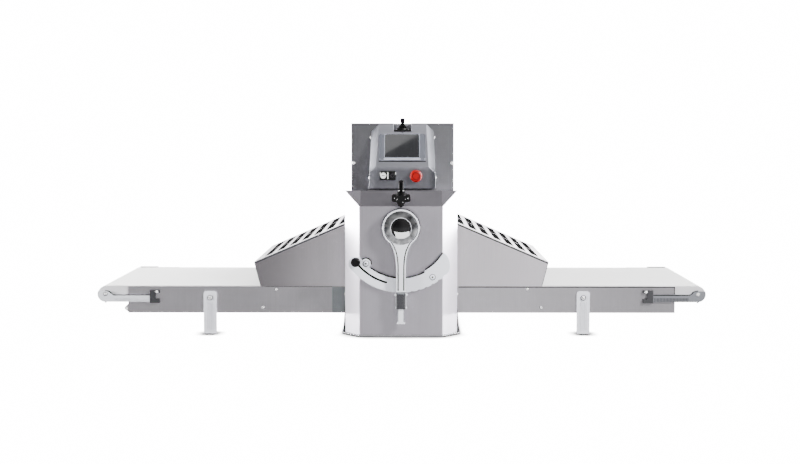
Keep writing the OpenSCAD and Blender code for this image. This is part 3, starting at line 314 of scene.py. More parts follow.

# Screws.
# Button-head screws of stainless steel with a hex socket hold rails, covers and console; their heads are painted
# near-white as a glint. A thin black ring under each head is painted shade round it.


def turned(bm, profile, place, steps=48):
    """Spins (radius, height) pairs in mm about local Z. A third value gives the ring that many flats."""
    rings = []
    for r, h, *flats in profile:
        if r == 0:
            rings.append([bm.verts.new(place @ Vector((0, 0, h / 1000)))])
            continue
        ring = []
        for i in range(steps):
            a = 2 * math.pi * i / steps
            reach = r / 1000
            if flats:
                wedge = math.pi / flats[0]
                reach *= math.cos(wedge) / math.cos(a % (2 * wedge) - wedge)
            ring.append(bm.verts.new(place @ Vector((reach * math.cos(a), reach * math.sin(a), h / 1000))))
        rings.append(ring)
    for a, b in zip(rings, rings[1:]):
        for i in range(steps):
            j = (i + 1) % steps
            if len(a) == 1:
                bm.faces.new((a[0], b[i], b[j]))
            elif len(b) == 1:
                bm.faces.new((a[i], a[j], b[0]))
            else:
                bm.faces.new((a[i], a[j], b[j], b[i]))


def piece(name, bm, body, material):
    """Turns a finished bmesh into a piece that rides on a body."""
    bmesh.ops.remove_doubles(bm, verts=bm.verts, dist=0.000002)
    bmesh.ops.recalc_face_normals(bm, faces=bm.faces)
    mesh = bpy.data.meshes.new(name)
    bm.to_mesh(mesh)
    bm.free()
    mesh.materials.append(material)
    mesh.polygons.foreach_set("use_smooth", [True] * len(mesh.polygons))
    mesh.set_sharp_from_angle(angle=math.radians(32))
    made = bpy.data.objects.new(name, mesh)
    made.modifiers.new("flat_faces", "WEIGHTED_NORMAL").keep_sharp = True
    link(made)
    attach(made, body)
    return made


def moved(x, y, z=0.0):
    """A shift in millimetres."""
    return Matrix.Translation((x / 1000, y / 1000, z / 1000))


def facing(at, way):
    """A place in millimetres whose local Z points along way."""
    return moved(*at) @ Vector(way).to_track_quat("Z", "Y").to_matrix().to_4x4()


FRONT, REAR = (0, -1, 0), (0, 1, 0)
SCREW = [(4.5, 0), (4.5, 0.9), (4.2, 1.8), (3.4, 2.6), (2.6, 2.95), (2.5, 3.0, 6), (2.4, 2.9, 6), (2.4, 1.2, 6),
         (0, 1.0)]
SHADE_RING = [(4.2, 0), (5.4, 0), (5.4, 0.4), (4.2, 0.5)]


def screw_head(bm, under, at, way, size=1.0):
    """A screw's head and a dark ring of painted shade under it, size times as wide as a 9 mm head."""
    turned(bm, [(r * size, h * size, *flats) for r, h, *flats in SCREW], facing(at, way), 36)
    turned(under, [(r * size, h) for r, h in SHADE_RING], facing(at, way), 36)


# Painted glint: nearly white and hardly metallic, so the heads stay as bright as polished stainless glints.
glint_steel = brushed("painted_glint_steel", "#F6F6F8", 0.22, "x", 0.5, 0.2)
# Painted shade: matt black, for shadow lines and the rings round screw heads.
shade_black = moulded("shade_black", "#0C0C0D", 0.6, shine=0.2)
heads, washers = bmesh.new(), bmesh.new()
for x, z in ((-397, 140), (-439, 83), (400, 142), (444, 83)):
    for y, way_out in ((-330, FRONT), (330, REAR)):
        screw_head(heads, washers, (x, y, z), way_out)
for side in (-1, 1):
    screw_head(heads, washers, (side * 175.5, 340, 524), FRONT, 1.3)
    for y, z in ((332, 615), (310, 473)):
        half = 118 - 8 * (z - 442) / 229  # the console narrows by 8 mm over its height of 229 mm
        screw_head(heads, washers, (side * (half + 0.3), y, z), (side, 0, 0), 1.1)
    screw_head(heads, washers, (side * 176, -345, 128), (side, 0, 0), 1.1)
screws = piece("socket_screws", heads, "frame", glint_steel)
piece("screw_shade_rings", washers, "frame", shade_black)
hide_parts("screws")

# Tables.
# Each table is two folded stainless rails, brushed upright, with a sheet bed between them that the belt runs over.
# A leg is a bar of drawn aluminium, a nose cheek is moulded plastic, and the take-up arms are cast aluminium.

# A soft grey sheen, painted brighter towards the left table's end and darker towards the right one's, as light and
# shade.
rail_steel = brushed("stainless_rail_grain", "#D4D1D7", 0.42, "z", 1.2)
fade(rail_steel, "X", 0.20, 0.85, 1.0, 0.56)
fade(rail_steel, "X", -0.85, -0.45, 1.22, 1.0)
# Greyer and bluer than the rail, so that the joint plate stands out from it.
bracket_steel = brushed("joint_plate_steel", "#A5AAAF", 0.42, "z", 1.2)
# Even grey rolled sheet, seen only from below.
sheet_steel = brushed("rolled_sheet", "#B8B8BC", 0.4, "x", 1.4)
# Nearly white satin with faint lengthwise lines.
leg_aluminium = brushed("drawn_aluminium", "#E6E7EF", 0.4, "z", 3.0, 0.15)
# Smooth pale grey plastic with a soft shine.
cheek_plastic = moulded("grey_cheek_plastic", "#BEBDC0", 0.45)
# Pale satin that hardly mirrors anything.
arm_aluminium = brushed("pale_arm_aluminium", "#DADCE2", 0.36, "x", 1.2, 0.25)
# Painted shade: a darker copy with more mirror, for the right table's arms, which stand in shade.
arm_shaded = brushed("shaded_arm_aluminium", "#7F8187", 0.32, "x", 1.2, 0.6)
# Nearly black plastic with a soft shine.
clip_plastic = moulded("clip_plastic", "#2E2E31", 0.35)
for node, finish, edge_mm in (
    ("table_rails", rail_steel, 0.6), ("rail_brackets", bracket_steel, 0.5), ("table_beds", sheet_steel, 0.4),
    ("leg_left", leg_aluminium, 0.9), ("leg_right", leg_aluminium, 0.9), ("nose_cheeks", cheek_plastic, 0.8),
    ("takeup_arms_left", arm_aluminium, 0.8), ("takeup_arms_right", arm_shaded, 0.8),
    ("takeup_clips", clip_plastic, 0.8),
):
    dress(node, finish, edge_mm)

# Table details.
# Each take-up arm is ribbed, and a black line of painted shade runs along its upper edge; screws hold the roller
# shaft, the clip, the leg and the small lug, and black strips of painted shade lie between rail and belt and on the
# far nose cheeks.


def cut_out(bm, outlines, low, high, place, edge=0.3):
    """Adds a flat form cut from outlines in mm, the outside first and then its holes, with rounded edges."""
    curve = bpy.data.curves.new("outline", "CURVE")
    curve.dimensions = "2D"
    curve.fill_mode = "BOTH"
    for points in outlines:
        line = curve.splines.new("POLY")
        line.points.add(len(points) - 1)
        line.points.foreach_set("co", [c for x, y in points for c in (x / 1000, y / 1000, 0, 1)])
        line.use_cyclic_u = True
    curve.extrude = (high - low) / 2000 - edge / 1000
    curve.bevel_depth = edge / 1000
    curve.bevel_resolution = 1
    curve.offset = -edge / 1000
    mesh = bpy.data.meshes.new_from_object(bpy.data.objects.new("outline", curve))
    mesh.transform(place @ moved(0, 0, (low + high) / 2))
    bm.from_mesh(mesh)


def circle(x, y, radius, start=0, turn=360, steps=48):
    """Points of a circle or, with less than a full turn, of an arc."""
    count = steps if turn == 360 else steps + 1
    return [(x + radius * math.cos(math.radians(start + turn * i / steps)),
             y + radius * math.sin(math.radians(start + turn * i / steps))) for i in range(count)]


def box(x0, y0, x1, y1):
    """A rectangle's outline."""
    return [(x0, y0), (x1, y0), (x1, y1), (x0, y1)]


def belt_side(side, end=-1, y=330.0):
    """A place on a table's long side in mm, for outlines drawn outward from the machine's middle."""
    turn = Matrix(((side, 0, 0, 0), (0, 0, -1, -y / 1000), (0, 1, 0, 0), (0, 0, 0, 1)))
    return turn if end < 0 else Matrix.Scale(-1, 4, (0, 1, 0)) @ turn


def rounded(x0, y0, x1, y1, radius):
    """A rectangle's outline with rounded corners."""
    return [point for x, y, start in ((x1 - radius, y1 - radius, 0), (x0 + radius, y1 - radius, 90),
                                      (x0 + radius, y0 + radius, 180), (x1 - radius, y0 + radius, 270))
            for point in circle(x, y, radius, start, 90, 6)]


strips, heads = bmesh.new(), bmesh.new()
# Painted shade: black strips along the rails' top edges between rail and belt, thicker on the right, a short one on
# each far nose cheek and one at the right rail's end.
for side, thick in ((-1, 1.3), (1, 3.0)):
    for end in (-1, 1):
        cut_out(strips, [box(182, 149.8 - thick, 867.6, 149.8)], 0, 0.3, belt_side(side, end), 0.08)
        turned(heads, ((4.4, 0), (4.4, 0.8), (3.2, 1.8), (0, 2.2)),
               belt_side(side, end, 339.3) @ moved(775.5, 133.6), 24)
    cut_out(strips, [box(876, 149.6, 941, 153.5)], -3.4, -0.4, belt_side(side, 1), 0.2)
turned(heads, ((4.0, 0), (4.0, 0.8), (3.0, 1.7), (0, 2.0)), belt_side(-1) @ moved(873.5, 79.5), 24)
cut_out(strips, [box(865.4, 126, 867.8, 149)], 0, 0.3, belt_side(1), 0.08)
piece("rail_shade_strips", strips, "frame", shade_black)
piece("clip_screws", heads, "frame", glint_steel)
# On the right table the ribs are in dark painted-shade steel, for the shade between them.
for side, word, rib_metal, leg_x in ((-1, "left", arm_aluminium, 607), (1, "right", shade_plate, 577)):
    ribs, shade_lines, shaft, leg_head, leg_dark = (bmesh.new() for _ in range(5))
    for end in (-1, 1):
        on_arm = belt_side(side, end, 336.3)
        for k in range(24):
            x = 801 + k * 4.6
            # The first ribs are flat, because the arm slides past the clip there.
            high = 0.7 if x > 809 else 0.2
            cut_out(ribs, [box(x, 102.4, x + 2.4, 114)], 0, high, on_arm, 0.08)
        # Painted shade: a black line along the arm's upper edge.
        line = [(799, 121.6), (914.4, 121.6), (927.8, 132.8), (933, 135.0), (941, 136.2), (941, 138.8), (933, 137.8),
                (926.4, 136), (913.4, 124.8), (799, 124.8)]
        cut_out(shade_lines, [line], 0, 0.2, on_arm, 0.06)
        turned(shaft, SCREW, on_arm @ moved(940, 126), 36)
        pivot = belt_side(side, end, 338.3) @ moved(leg_x, 115)
        turned(leg_head, ((5.6, -1), (5.6, 0.6), (4.4, 1.5), (2.6, 1.9), (0, 2.0)), pivot, 32)
        # Painted shade: the black ring round the leg's screw and the black V on its head; four thin black lines also
        # run down the leg.
        cut_out(leg_dark, [circle(0, 0, 8.4), circle(0, 0, 6.6)], -2.6, 0.2, pivot, 0.2)
        for x in (-9, -3.5, 3.5, 9):
            cut_out(leg_dark, [box(x - 0.16, -102, x + 0.16, -14)], -0.5, 0.12, pivot, 0.04)
        cut_out(leg_dark, [[(-4.6, 2.4), (-3.4, 3.4), (0.4, -0.6), (4.0, 3.2), (5.0, 2.2), (0.4, -2.6)]],
                1.4, 2.2, pivot, 0.1)
    piece("arm_ribs_" + word, ribs, word + "_takeup", rib_metal)
    piece("arm_shade_lines_" + word, shade_lines, word + "_takeup", shade_black)
    piece("shaft_screws_" + word, shaft, word + "_nose", glint_steel)
    piece("leg_screws_" + word, leg_head, word + "_leg", glint_steel)
    piece("leg_rings_" + word, leg_dark, word + "_leg", shade_black)

# Belts.
# An endless belt of woven polyester with an off-white coating runs over each table, from a drum beside the rollers
# to the nose roller at the table's end.

# Matt cloth whose weave shows as a fine even grain, with faint stains. A thread is drawn 1.0 mm wide, about twice
# as coarse as the real cloth (a wave of Scale 1 is 314 mm long).
belt_cloth, tree, shader = finish_of("coated_belt_cloth", "#D6D6D4", 0.0, 0.42)
place = add(tree, "TexCoord").outputs["Object"]
warp, weft = (add(tree, "TexWave", {"Vector": place}, bands_direction=run, Scale=312.51) for run in "XY")
weave = add(tree, "Math", {0: warp.outputs["Fac"], 1: weft.outputs["Fac"]}, operation="MULTIPLY")
relief = add(tree, "Bump", {"Height": weave}, Strength=0.35, Distance=0.0003)
stain = add(tree, "TexNoise", {"Vector": place}, Scale=5.0, Detail=4.0)
tone = add(tree, "MixRGB", {"Fac": stain}, Color1=linear("#D1D1D1"), Color2=linear("#C9C8C6"))
wire(shader, {"Normal": relief, "Base Color": tone}, Sheen_Weight=0.15)
# Painted light and shade: the cloth is darker towards the right table's end and paler towards the left one's.
fade(belt_cloth, "X", 0.2, 0.9, 1.0, 0.82)
fade(belt_cloth, "X", -0.95, -0.6, 1.14, 1.0)
dress("conveyor_belts", belt_cloth, 0.4)

# Guards.
# Each guard is a slotted stainless sheet, brushed upright, with a folded cheek at both ends. It hangs on a pin
# beside the housing and lifts off the table like a flap.

# Paler than the covers and nearly free of streaks; painted shade and light make it darker towards the left guard's
# outer end and paler from the middle to the right.
guard_steel = brushed("stainless_guard_grain", "#D0CBD1", 0.34, "z", 1.2, depth=0.05)
fade(guard_steel, "X", -0.47, -0.12, 0.64, 1.6)
# Painted shade: flat black with no shine at all, for the dark in the slots and the shade round them.
slot_black = moulded("slot_black", "#0F0F10", 0.9, 1.5, shine=0.0)
GUARD_REACH, GUARD_TIP, SLOPE = 467, 228, math.radians(23.2)
SLOT_PITCH, SLOT_WIDE = 43, 17
for side, word in ((-1, "left"), (1, "right")):
    dress("hood_" + word, guard_steel, 0.7)
    slot_shade_sheet, fold_shade = bmesh.new(), bmesh.new()
    under = Matrix.Scale(side, 4, (1, 0, 0)) @ moved(GUARD_REACH, 0, GUARD_TIP) @ Matrix.Rotation(SLOPE, 4, "Y")
    # Painted shade: a black sheet under the slots, black fill inside each slot and a black border round it.
    cut_out(slot_shade_sheet, [box(-311, -273, -28, 273)], -3.4, -2.4, under, 0.2)
    for k in range(7):
        x0 = -35 - k * SLOT_PITCH - SLOT_WIDE
        x1 = x0 + SLOT_WIDE
        for y0, y1 in ((12, 270), (-270, -12)):
            cut_out(slot_shade_sheet, [rounded(x0 + 0.2, y0 + 0.2, x1 - 0.2, y1 - 0.2, 0.5)], -3, 0.1, under, 0.2)
            cut_out(slot_shade_sheet, [rounded(x0 - 4.5, y0 - 2, x1 + 4.5, y1 + 2, 2)], 0, 0.5, under, 0.15)
    # Painted shade: a dark grey strip along each fold between the top sheet and the cheek.
    for end in (-1, 1):
        cut_out(fold_shade, [[(178, 350.4), (467, 226.2), (447, 151.2), (445.2, 151.2), (464.0, 222.4), (178, 345.6)]],
                0, 0.35, belt_side(side, end), 0.08)
    piece("guard_slot_shade_" + word, slot_shade_sheet, word + "_guard", slot_black)
    piece("guard_fold_shade_" + word, fold_shade, word + "_guard", shade_plate)

# Rollers and what carries them.
# Hard-chromed sheeting rollers, turned steel drums, oiled gears and chains, milled aluminium blocks,
# white polyethylene scrapers.

# Hard chrome, cool and nearly as bright as a mirror.
chromed = brushed("hard_chrome", "#E2E2E6", 0.12, "y", 0.6)
# Mid grey turned steel with fine lines.
drum_steel = brushed("turned_drum_steel", "#B9B9BE", 0.3, "y", 0.7)
# Darker steel under a film of oil, with soft highlights.
oiled_steel = brushed("oiled_gear_steel", "#77777C", 0.35, "y", 0.8)
# Dark, uneven chain links with small dull glints.
chain_steel = moulded("oiled_chain_steel", "#3A3A3D", 0.4, 1.5, 0.0006)
# Pale grey milled metal with fine cutter lines.
block_aluminium = brushed("milled_aluminium", "#B4B5BA", 0.33, "x", 1.0)
# Waxy white, half matt.
scraper_plastic = moulded("white_polyethylene", "#DADAD6", 0.5)
for finish, edge_mm, nodes in (
    (chromed, 0.5, ("roller_upper", "roller_lower", "lever_shaft")),
    (drum_steel, 0.4, ("drum_left", "drum_right", "nose_roller_left", "nose_roller_right", "bearings")),
    (oiled_steel, 0.3, ("roller_lower_gears", "motor_sprocket", "jack_shaft", "pinions", "slide_guides")),
    (chain_steel, 0.3, ("drive_chains", "upper_chain")),
    (block_aluminium, 0.5, ("bearing_blocks",)),
    (scraper_plastic, 0.3, ("scrapers_upper", "scrapers_lower")),
):
    for node in nodes:
        dress(node, finish, edge_mm)

# Motor and control unit.
# A gear motor in a painted cast case drives rollers and belts through chains. The speed control beside it has a
# plain black case.

# Hammered grey-blue enamel: small soft dimples that catch the light.
motor_enamel = moulded("grey_blue_enamel", "#4C5560", 0.4, 2.5, 0.0005)
dress("gear_motor", motor_enamel, 0.8)
dress("control_unit", black_nylon, 0.5)

# Arc plate.
# A plate of pale satin aluminium cut to an arc, on two spacers. A black strip of painted shade shows along its inner
# edge and round its lug, and black painted shade lines its slot. Each of its two screws stands on a wide washer
# inside a black ring, and a black hexagon on each head is painted shade for the screw's socket.

# The lever's pivot height, and radii round the pivot.
PIVOT_Z, ARC_IN, SLOT_MIDDLE = 344, 158, 176
UPRIGHT = Matrix.Rotation(math.pi / 2, 4, "X")


def at_front(y, z=PIVOT_Z):
    """A place on the front, in mm, whose local X and Y run right and up and whose local Z comes forward."""
    return moved(0, y, z) @ UPRIGHT


# Pale satin, nearly white, with a faint grain from end to end.
arc_aluminium = brushed("satin_arc_aluminium", "#ECEEF7", 0.45, "x", 1.0, 0.05)
dress("arc_plate", arc_aluminium, 0.5)
LUG, ARC_SCREW = (-109, -111.4), (98, -153.4)
# Painted shade: a black strip along the plate's inner edge and round its lug.
strip = bmesh.new()
for outline in (
    circle(0, 0, ARC_IN + 3, -87, 24.5) + circle(0, 0, ARC_IN - 4, -62.5, -24.5),
    circle(0, 0, ARC_IN + 3, -127, 31) + circle(0, 0, ARC_IN - 4, -96, -31),
    circle(0, 0, ARC_IN - 1, -60, 29) + circle(0, 0, ARC_IN - 9.4, -31, -29),
    circle(*LUG, 18.6, -10, 180) + circle(*LUG, 11, 170, -180),
):
    cut_out(strip, [outline], 0, 2.4, at_front(-434.8), 0.2)
piece("arc_shade_strip", strip, "frame", black_nylon)

# Painted shade: black lining behind and round the slot.
slot_strip = bmesh.new()
cut_out(slot_strip, [circle(0, 0, SLOT_MIDDLE + 6, 215, 41) + circle(0, 0, SLOT_MIDDLE - 6, 256, -41)], 0.1, 0.9,
        at_front(-427), 0.2)
slot_edge = [circle(0, 0, SLOT_MIDDLE + q, 217, 38) + circle(0, 0, SLOT_MIDDLE - q, 255, -38) for q in (3.0, 2.75)]
cut_out(slot_strip, slot_edge, 0, 3.2, at_front(-435), 0.05)
piece("arc_slot_shade", slot_strip, "frame", black_nylon)
# A black ring round each washer; the black hexagon on each head is painted shade for its socket.
rings, washers = bmesh.new(), bmesh.new()
for x, z in (LUG, ARC_SCREW):
    cut_out(washers, [circle(x, z, 10.4)], 0, 0.5, at_front(-438), 0.15)
    cut_out(rings, [circle(x, z, 9.7), circle(x, z, 8.0)], 0.2, 0.7, at_front(-438), 0.1)
    turned(washers, ((8, 0.4), (8, 1.0), (6.8, 2.0), (4.4, 2.7), (2.2, 2.9), (0, 2.9)),
           facing((x, -438, PIVOT_Z + z), FRONT), 36)
    cut_out(rings, [circle(x, z, 2.9, steps=6)], 2.6, 3.1, at_front(-438), 0.1)
piece("arc_screw_dark_marks", rings, "frame", black_nylon)
piece("arc_screw_washers", washers, "frame", arc_aluminium)

# Gap lever.
# A casting in polished aluminium: a ring round the hub that narrows to an arm. A raised rim follows its edge, a
# groove inside the rim is painted dark as shade, and the ring's own face is turned, so its marks run round.

RING_R, BORE_R, ARM_HALF = 58, 31.5, 15.5
ON_LEVER = at_front(-445)


def neck_half(s):
    """Half of the neck's width at a distance s under the pivot."""
    return ARM_HALF + (RING_R * 0.86 - ARM_HALF) * (1 - min(1, (s - 26) / 110)) ** 3


def lever_edge(inset, foot, side=1):
    """Half of the lever's outline, from its top down to a height below the pivot."""
    radius = RING_R - inset
    line = []
    for i in range(61):
        a = math.radians(90 - i * 2.6)
        x, z = radius * math.cos(a), radius * math.sin(a)
        if z > -20 or x > neck_half(-z) - inset:
            line.append((x, z))
    s = -line[-1][1] + 3
    while s < foot:
        line.append((max(neck_half(s), ARM_HALF) - inset, -s))
        s += 6 if s < 130 else 20
    line.append((ARM_HALF - inset, -foot))
    return [(side * x, z) for x, z in line]


def lever_outline(inset, foot):
    """Both halves together."""
    return lever_edge(inset, foot)[::-1] + lever_edge(inset, foot, -1)[1:]


# Polished casting: pale with a touch of blue, a broad soft sheen and hardly any mirror; its near-white is partly its
# own colour and partly painted sheen, for the light its polish would mirror.
cast_aluminium = brushed("polished_cast_aluminium", "#ECEDF3", 0.32, "z", 1.3, 0.12)
# Even mid grey with a sandy grain, as the casting comes out of its mould.
as_cast = moulded("as_cast_aluminium", "#808288", 0.5, 1.6, 0.0004)
# Painted shade in the groove: nearly black, with hardly a shine.
groove_shade_grey = moulded("painted_groove_shade", "#17181A", 0.6, shine=0.3)
# A turned face: bright metal broken up by rings and by lighter and darker clouds, and painted darker towards the top
# as shade. The rings are drawn 1.2 mm apart, where real turning marks are about 0.3 mm apart.
swirled, tree, shader = finish_of("turned_ring_face", "#C9CACF", 0.95, 0.3)
place = add(tree, "TexCoord").outputs["Object"]
centred = add(tree, "Mapping", {"Vector": place}, Location=(0, 0, -PIVOT_Z / 1000))
marks = add(tree, "TexWave", {"Vector": centred}, wave_type="RINGS", rings_direction="Y",
            Scale=260.0, Distortion=1.5, Detail=2.0)
cloud = add(tree, "TexNoise", {"Vector": place}, Scale=38.0, Detail=3.0)
marked = add(tree, "MapRange", {"Value": cloud}, From_Min=0.35, From_Max=0.65)
tone = add(tree, "MixRGB", {"Fac": marked}, Color1=linear("#6A6B70"), Color2=linear("#F0F1F4"))
relief = add(tree, "Bump", {"Height": marks.outputs["Fac"]}, Strength=0.2, Distance=0.0002)
wire(shader, {"Base Color": tone, "Normal": relief})
fade(swirled, "Z", 0.328, 0.362, 1.0, 0.34)
body = bmesh.new()
tongue = [(ARM_HALF, -197.5), (12.5, -201.5), (10.5, -201.5), (10.5, -290), (13.5, -294), (13.5, -298)]
outline = lever_edge(0, 190) + tongue + [(-x, z) for x, z in tongue[::-1]] + lever_edge(0, 190, -1)[::-1][:-1]
cut_out(body, [outline, circle(0, 0, BORE_R)], 0, 17.6, ON_LEVER, 0.8)
lever_body = piece("lever_casting", body, "lever", as_cast)
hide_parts("gap_lever")
body = bmesh.new()
# Painted highlight: the two small bright lugs stand in for the glints at the ring's sides.
for x in (-56.2, 56.6):  # a small bright lug on each side of the ring
    cut_out(body, [[(x + q * 0.36, z + 1) for q, z in circle(0, 0, 6.5, steps=24)]], 17, 20, ON_LEVER, 0.8)
cut_out(body, [lever_outline(0.9, 198), lever_outline(4.8, 194)], 17.2, 19.8, ON_LEVER, 0.9)
cut_out(body, [lever_outline(8.6, 196)], 17.2, 18.9, ON_LEVER, 0.5)
turned(body, ((31.6, 17), (31.6, 19.4), (31.9, 19.8), (32.7, 19.8), (33.0, 19.4), (33.0, 18)), ON_LEVER, 72)
cut_out(body, [[(-7.8, -250), (7.8, -250), (7.8, -290), (12.4, -293.4), (12.4, -297.2), (-12.4, -297.2),
                (-12.4, -293.4), (-7.8, -290)]], 17.2, 18.2, ON_LEVER, 0.4)
piece("lever_polished_faces", body, "lever", cast_aluminium)
body = bmesh.new()
# Painted shade: a black disc behind the ring shows as a thin dark outline round it.
cut_out(body, [circle(0, 0.5, 60), circle(0, 0.5, 40)], -3.6, -0.4, ON_LEVER, 0.2)
piece("lever_shade_disc", body, "lever", black_nylon)
groove = bmesh.new()
cut_out(groove, [lever_outline(4.0, 193), lever_outline(9.4, 190)], 17.4, 17.9, ON_LEVER, 0.1)
piece("lever_groove_shade", groove, "lever", groove_shade_grey)
ring_face = bmesh.new()
turned(ring_face, ((32.9, 18), (33.2, 19.6), (40, 20.4), (47, 20.2), (50.6, 19.6), (51.6, 18.6), (51.6, 17.6)),
       ON_LEVER, 96)
piece("lever_ring_face", ring_face, "lever", swirled)

# Hub.
# A glossy black plastic cap is pressed into the ring and hides the end of the lever's shaft. On its lower half, a
# thin dished patch of near-white satin is a painted reflection of a bright light.

# A clear dark mirror with fine wiping scratches.
gloss_black, tree, shader = finish_of("gloss_black", "#0B0B0C", 0.0, 0.14)
scratches = grain(tree, "x", 0.5)
dull = add(tree, "MapRange", {"Value": scratches}, From_Min=0.3, From_Max=0.7, To_Min=0.10, To_Max=0.2)
wire(shader, {"Roughness": dull})
cap = bmesh.new()
turned(cap, ((31.2, 1), (31.2, 17), (31.0, 19.2), (30.2, 20.6), (28.6, 21.4), (27.4, 21.4), (26.4, 20.6), (20, 21.6),
             (10, 22.4), (0, 22.7)), ON_LEVER, 72)
hub_cap = piece("hub_cap", cap, "lever", gloss_black)
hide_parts("lever_hub")
hub_reflection = bmesh.new()
reflection_outline = [(-21.5, -9.5), (-12, -12), (0, -12.6), (12, -12), (25.5, -9), (26, -18), (25, -22.5), (17, -27.5),
         (9, -31), (0, -32), (-8, -31.6), (-15, -28), (-16, -23), (-18.5, -16)]
cut_out(hub_reflection, [reflection_outline], 20.2, 25.6, ON_LEVER, 1.2)
# Painted reflection: near-white satin that stays bright from every side, for the light mirrored in the cap's lower
# half.
reflection_white = brushed("painted_reflection_white", "#EDEDEE", 0.4, "x", 0.8, 0.05)
piece("hub_reflection_patch", hub_reflection, "lever", reflection_white)

# Trigger.
# A grey moulded grip with fine ribs that slides on the lever's tongue, held between two bright side bars
# whose ends stand out as lugs; the pawl behind it drops into the arc plate's notches.

TRIGGER_TOP = 142.2
# Dark grey plastic with a dull shine along each rib.
grip_grey = moulded("ribbed_grip_grey", "#38383C", 0.42, 1.2)
grip = bmesh.new()
front = [(14.3 * x, 3.8 * y + 2.2) for x, y in circle(0, 0, 1, 0, 180, 12)]
for k in range(10):
    cut_out(grip, [[(x, -z) for x, z in front] + [(-14.3, 0.5), (14.3, 0.5)]], 0, 3.7,
            moved(0, -464, TRIGGER_TOP - 6.7 - k * 4.4), 0.6)
cut_out(grip, [[(x * 0.96, -z + 0.6) for x, z in front] + [(-13.7, 0.5), (13.7, 0.5)]], 0, 46,
        moved(0, -464, TRIGGER_TOP - 48), 0.3)
# Two cheeks beside the lever's tongue and a plate behind it.
for cheek in (box(-14.3, -447, -11.2, -465), box(11.2, -447, 14.3, -465), box(-14.3, -444.6, 14.3, -441.2)):
    cut_out(grip, [cheek], 0, 48, moved(0, 0, TRIGGER_TOP - 48.5), 0.4)
trigger_grip = piece("trigger_grip", grip, "trigger", grip_grey)
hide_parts("lever_trigger")
bars = bmesh.new()
for side in (-1, 1):
    edge_x = side * ARM_HALF
    cut_out(bars, [box(edge_x - 0.8, -446, edge_x + 0.8, -465)], 0, 49, moved(0, 0, TRIGGER_TOP - 49), 0.3)
    for drop, out in ((5, 6), (45, 4.0)):
        turned(bars, ((0, 0), (3.5, 0), (3.5, out - 0.8), (2.8, out), (0, out)),
               facing((side * 13.4, -455, TRIGGER_TOP - drop), (side, 0, 0)), 24)
turned(bars, ((0, 0), (4, 0), (4, 6.6), (3.4, 7.2), (0, 7.2)), facing((0, -437.6, TRIGGER_TOP - 5.2), REAR), 24)
piece("trigger_bars", bars, "trigger", cast_aluminium)

# Stop.
# A fluted black plastic knob clamps a steel slider anywhere along the arc plate's slot, and the slider stops the
# lever there.

# Black moulded plastic with a weak broad shine.
knob_black = moulded("knob_black", "#050506", 0.45, shine=0.25)
dress("stop_slide", bright_steel, 0.3)
KNOB_AT = facing((-140.56, -438, 238.08), FRONT)
knob = bmesh.new()
# Twenty flutes, 0.8 mm deep, with four points each.
fluted = [(x * q, y * q) for (x, y), q in zip(circle(0, 0, 1, steps=80), (14.1, 14.5, 14.9, 14.5) * 20)]
cut_out(knob, [fluted], 11, 24.6, KNOB_AT, 0.9)
turned(knob, ((10, 0.4), (10, 11), (14.1, 11.4), (14.1, 24.2), (13.6, 26.2), (12, 27.6), (10.6, 27.9), (9.8, 27.2),
              (0, 27.0)), KNOB_AT)
stop_knob = piece("fluted_knob", knob, "stop_grip", knob_black)
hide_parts("stop_knob")

# Console.
# The console is folded stainless like the covers, upright below and leaning back above. The display sits there in a
# frosted plastic frame with a raised lip round its dark glass.

FACE_Y, FOLD_Z, DISPLAY_Z = 252.8, 514, 580.2
PANEL = (moved(0, FACE_Y + (DISPLAY_Z - FOLD_Z) * math.tan(math.radians(30)), DISPLAY_Z)
         @ Matrix.Rotation(math.radians(60), 4, "X"))
# Brushed steel with its colour painted in bands of light and shade: darker under the fold and on the right corner,
# brighter at the top and on the left corner.
console_steel = brushed("stainless_console_grain", "#AFB0B9", 0.36, "x")
fade(console_steel, "Z", 0.496, 0.515, 0.58, 1.04)
fade(console_steel, "Z", 0.585, 0.635, 1.0, 1.24)
fade(console_steel, "X", -0.112, -0.088, 1.55, 1.0)
fade(console_steel, "X", 0.088, 0.112, 1.0, 0.5)
dress("console_shell", console_steel, 1.2)

# Frosted dark grey plastic with a soft shine.
frosted = moulded("frosted_frame", "#4A4C54", 0.36)
# The clear cover's edge, which lights up to a mid grey.
clear_edge = moulded("clear_lip", "#787B85", 0.3)
# The same edge, painted paler as a highlight where more light falls on it, under the glass.
highlight_edge = moulded("painted_highlight_lip", "#9597A2", 0.3)
frame_form = bmesh.new()
cut_out(frame_form, [rounded(-83, -54, 83, 54, 7), rounded(-62.5, -42.5, 59.5, 52.5, 1)], 0, 3.4, PANEL, 0.8)
cut_out(frame_form, [rounded(-77, -50, 77, 53, 5), rounded(-62.3, -42.3, 59.3, 52.3, 1)], 2.6, 4.9, PANEL, 0.9)
cut_out(frame_form, [rounded(-64, -41.5, 64, 41.5, 2)], -17, 2.8, PANEL, 0.4)
display_rim = piece("display_rim", frame_form, "frame", frosted)
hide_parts("display_frame")
lip = bmesh.new()
cut_out(lip, [rounded(-64.6, -44.6, 61.6, 53.4, 2), rounded(-62.2, -42.2, 59.2, 51.6, 1)], 4.2, 5.3, PANEL, 0.4)
for x, y in ((-79, -49), (79, -49), (-60.8, 50), (58.4, 50.4)):
    turned(lip, ((2.4, 2), (2.4, 5.0), (1.6, 5.5), (0, 5.6)), PANEL @ moved(x, y), 20)
# A bright bar along the frame's lower edge is a painted highlight.
cut_out(lip, [rounded(-80, -53.6, 80, -51.4, 0.8)], 2.6, 3.8, PANEL, 0.3)
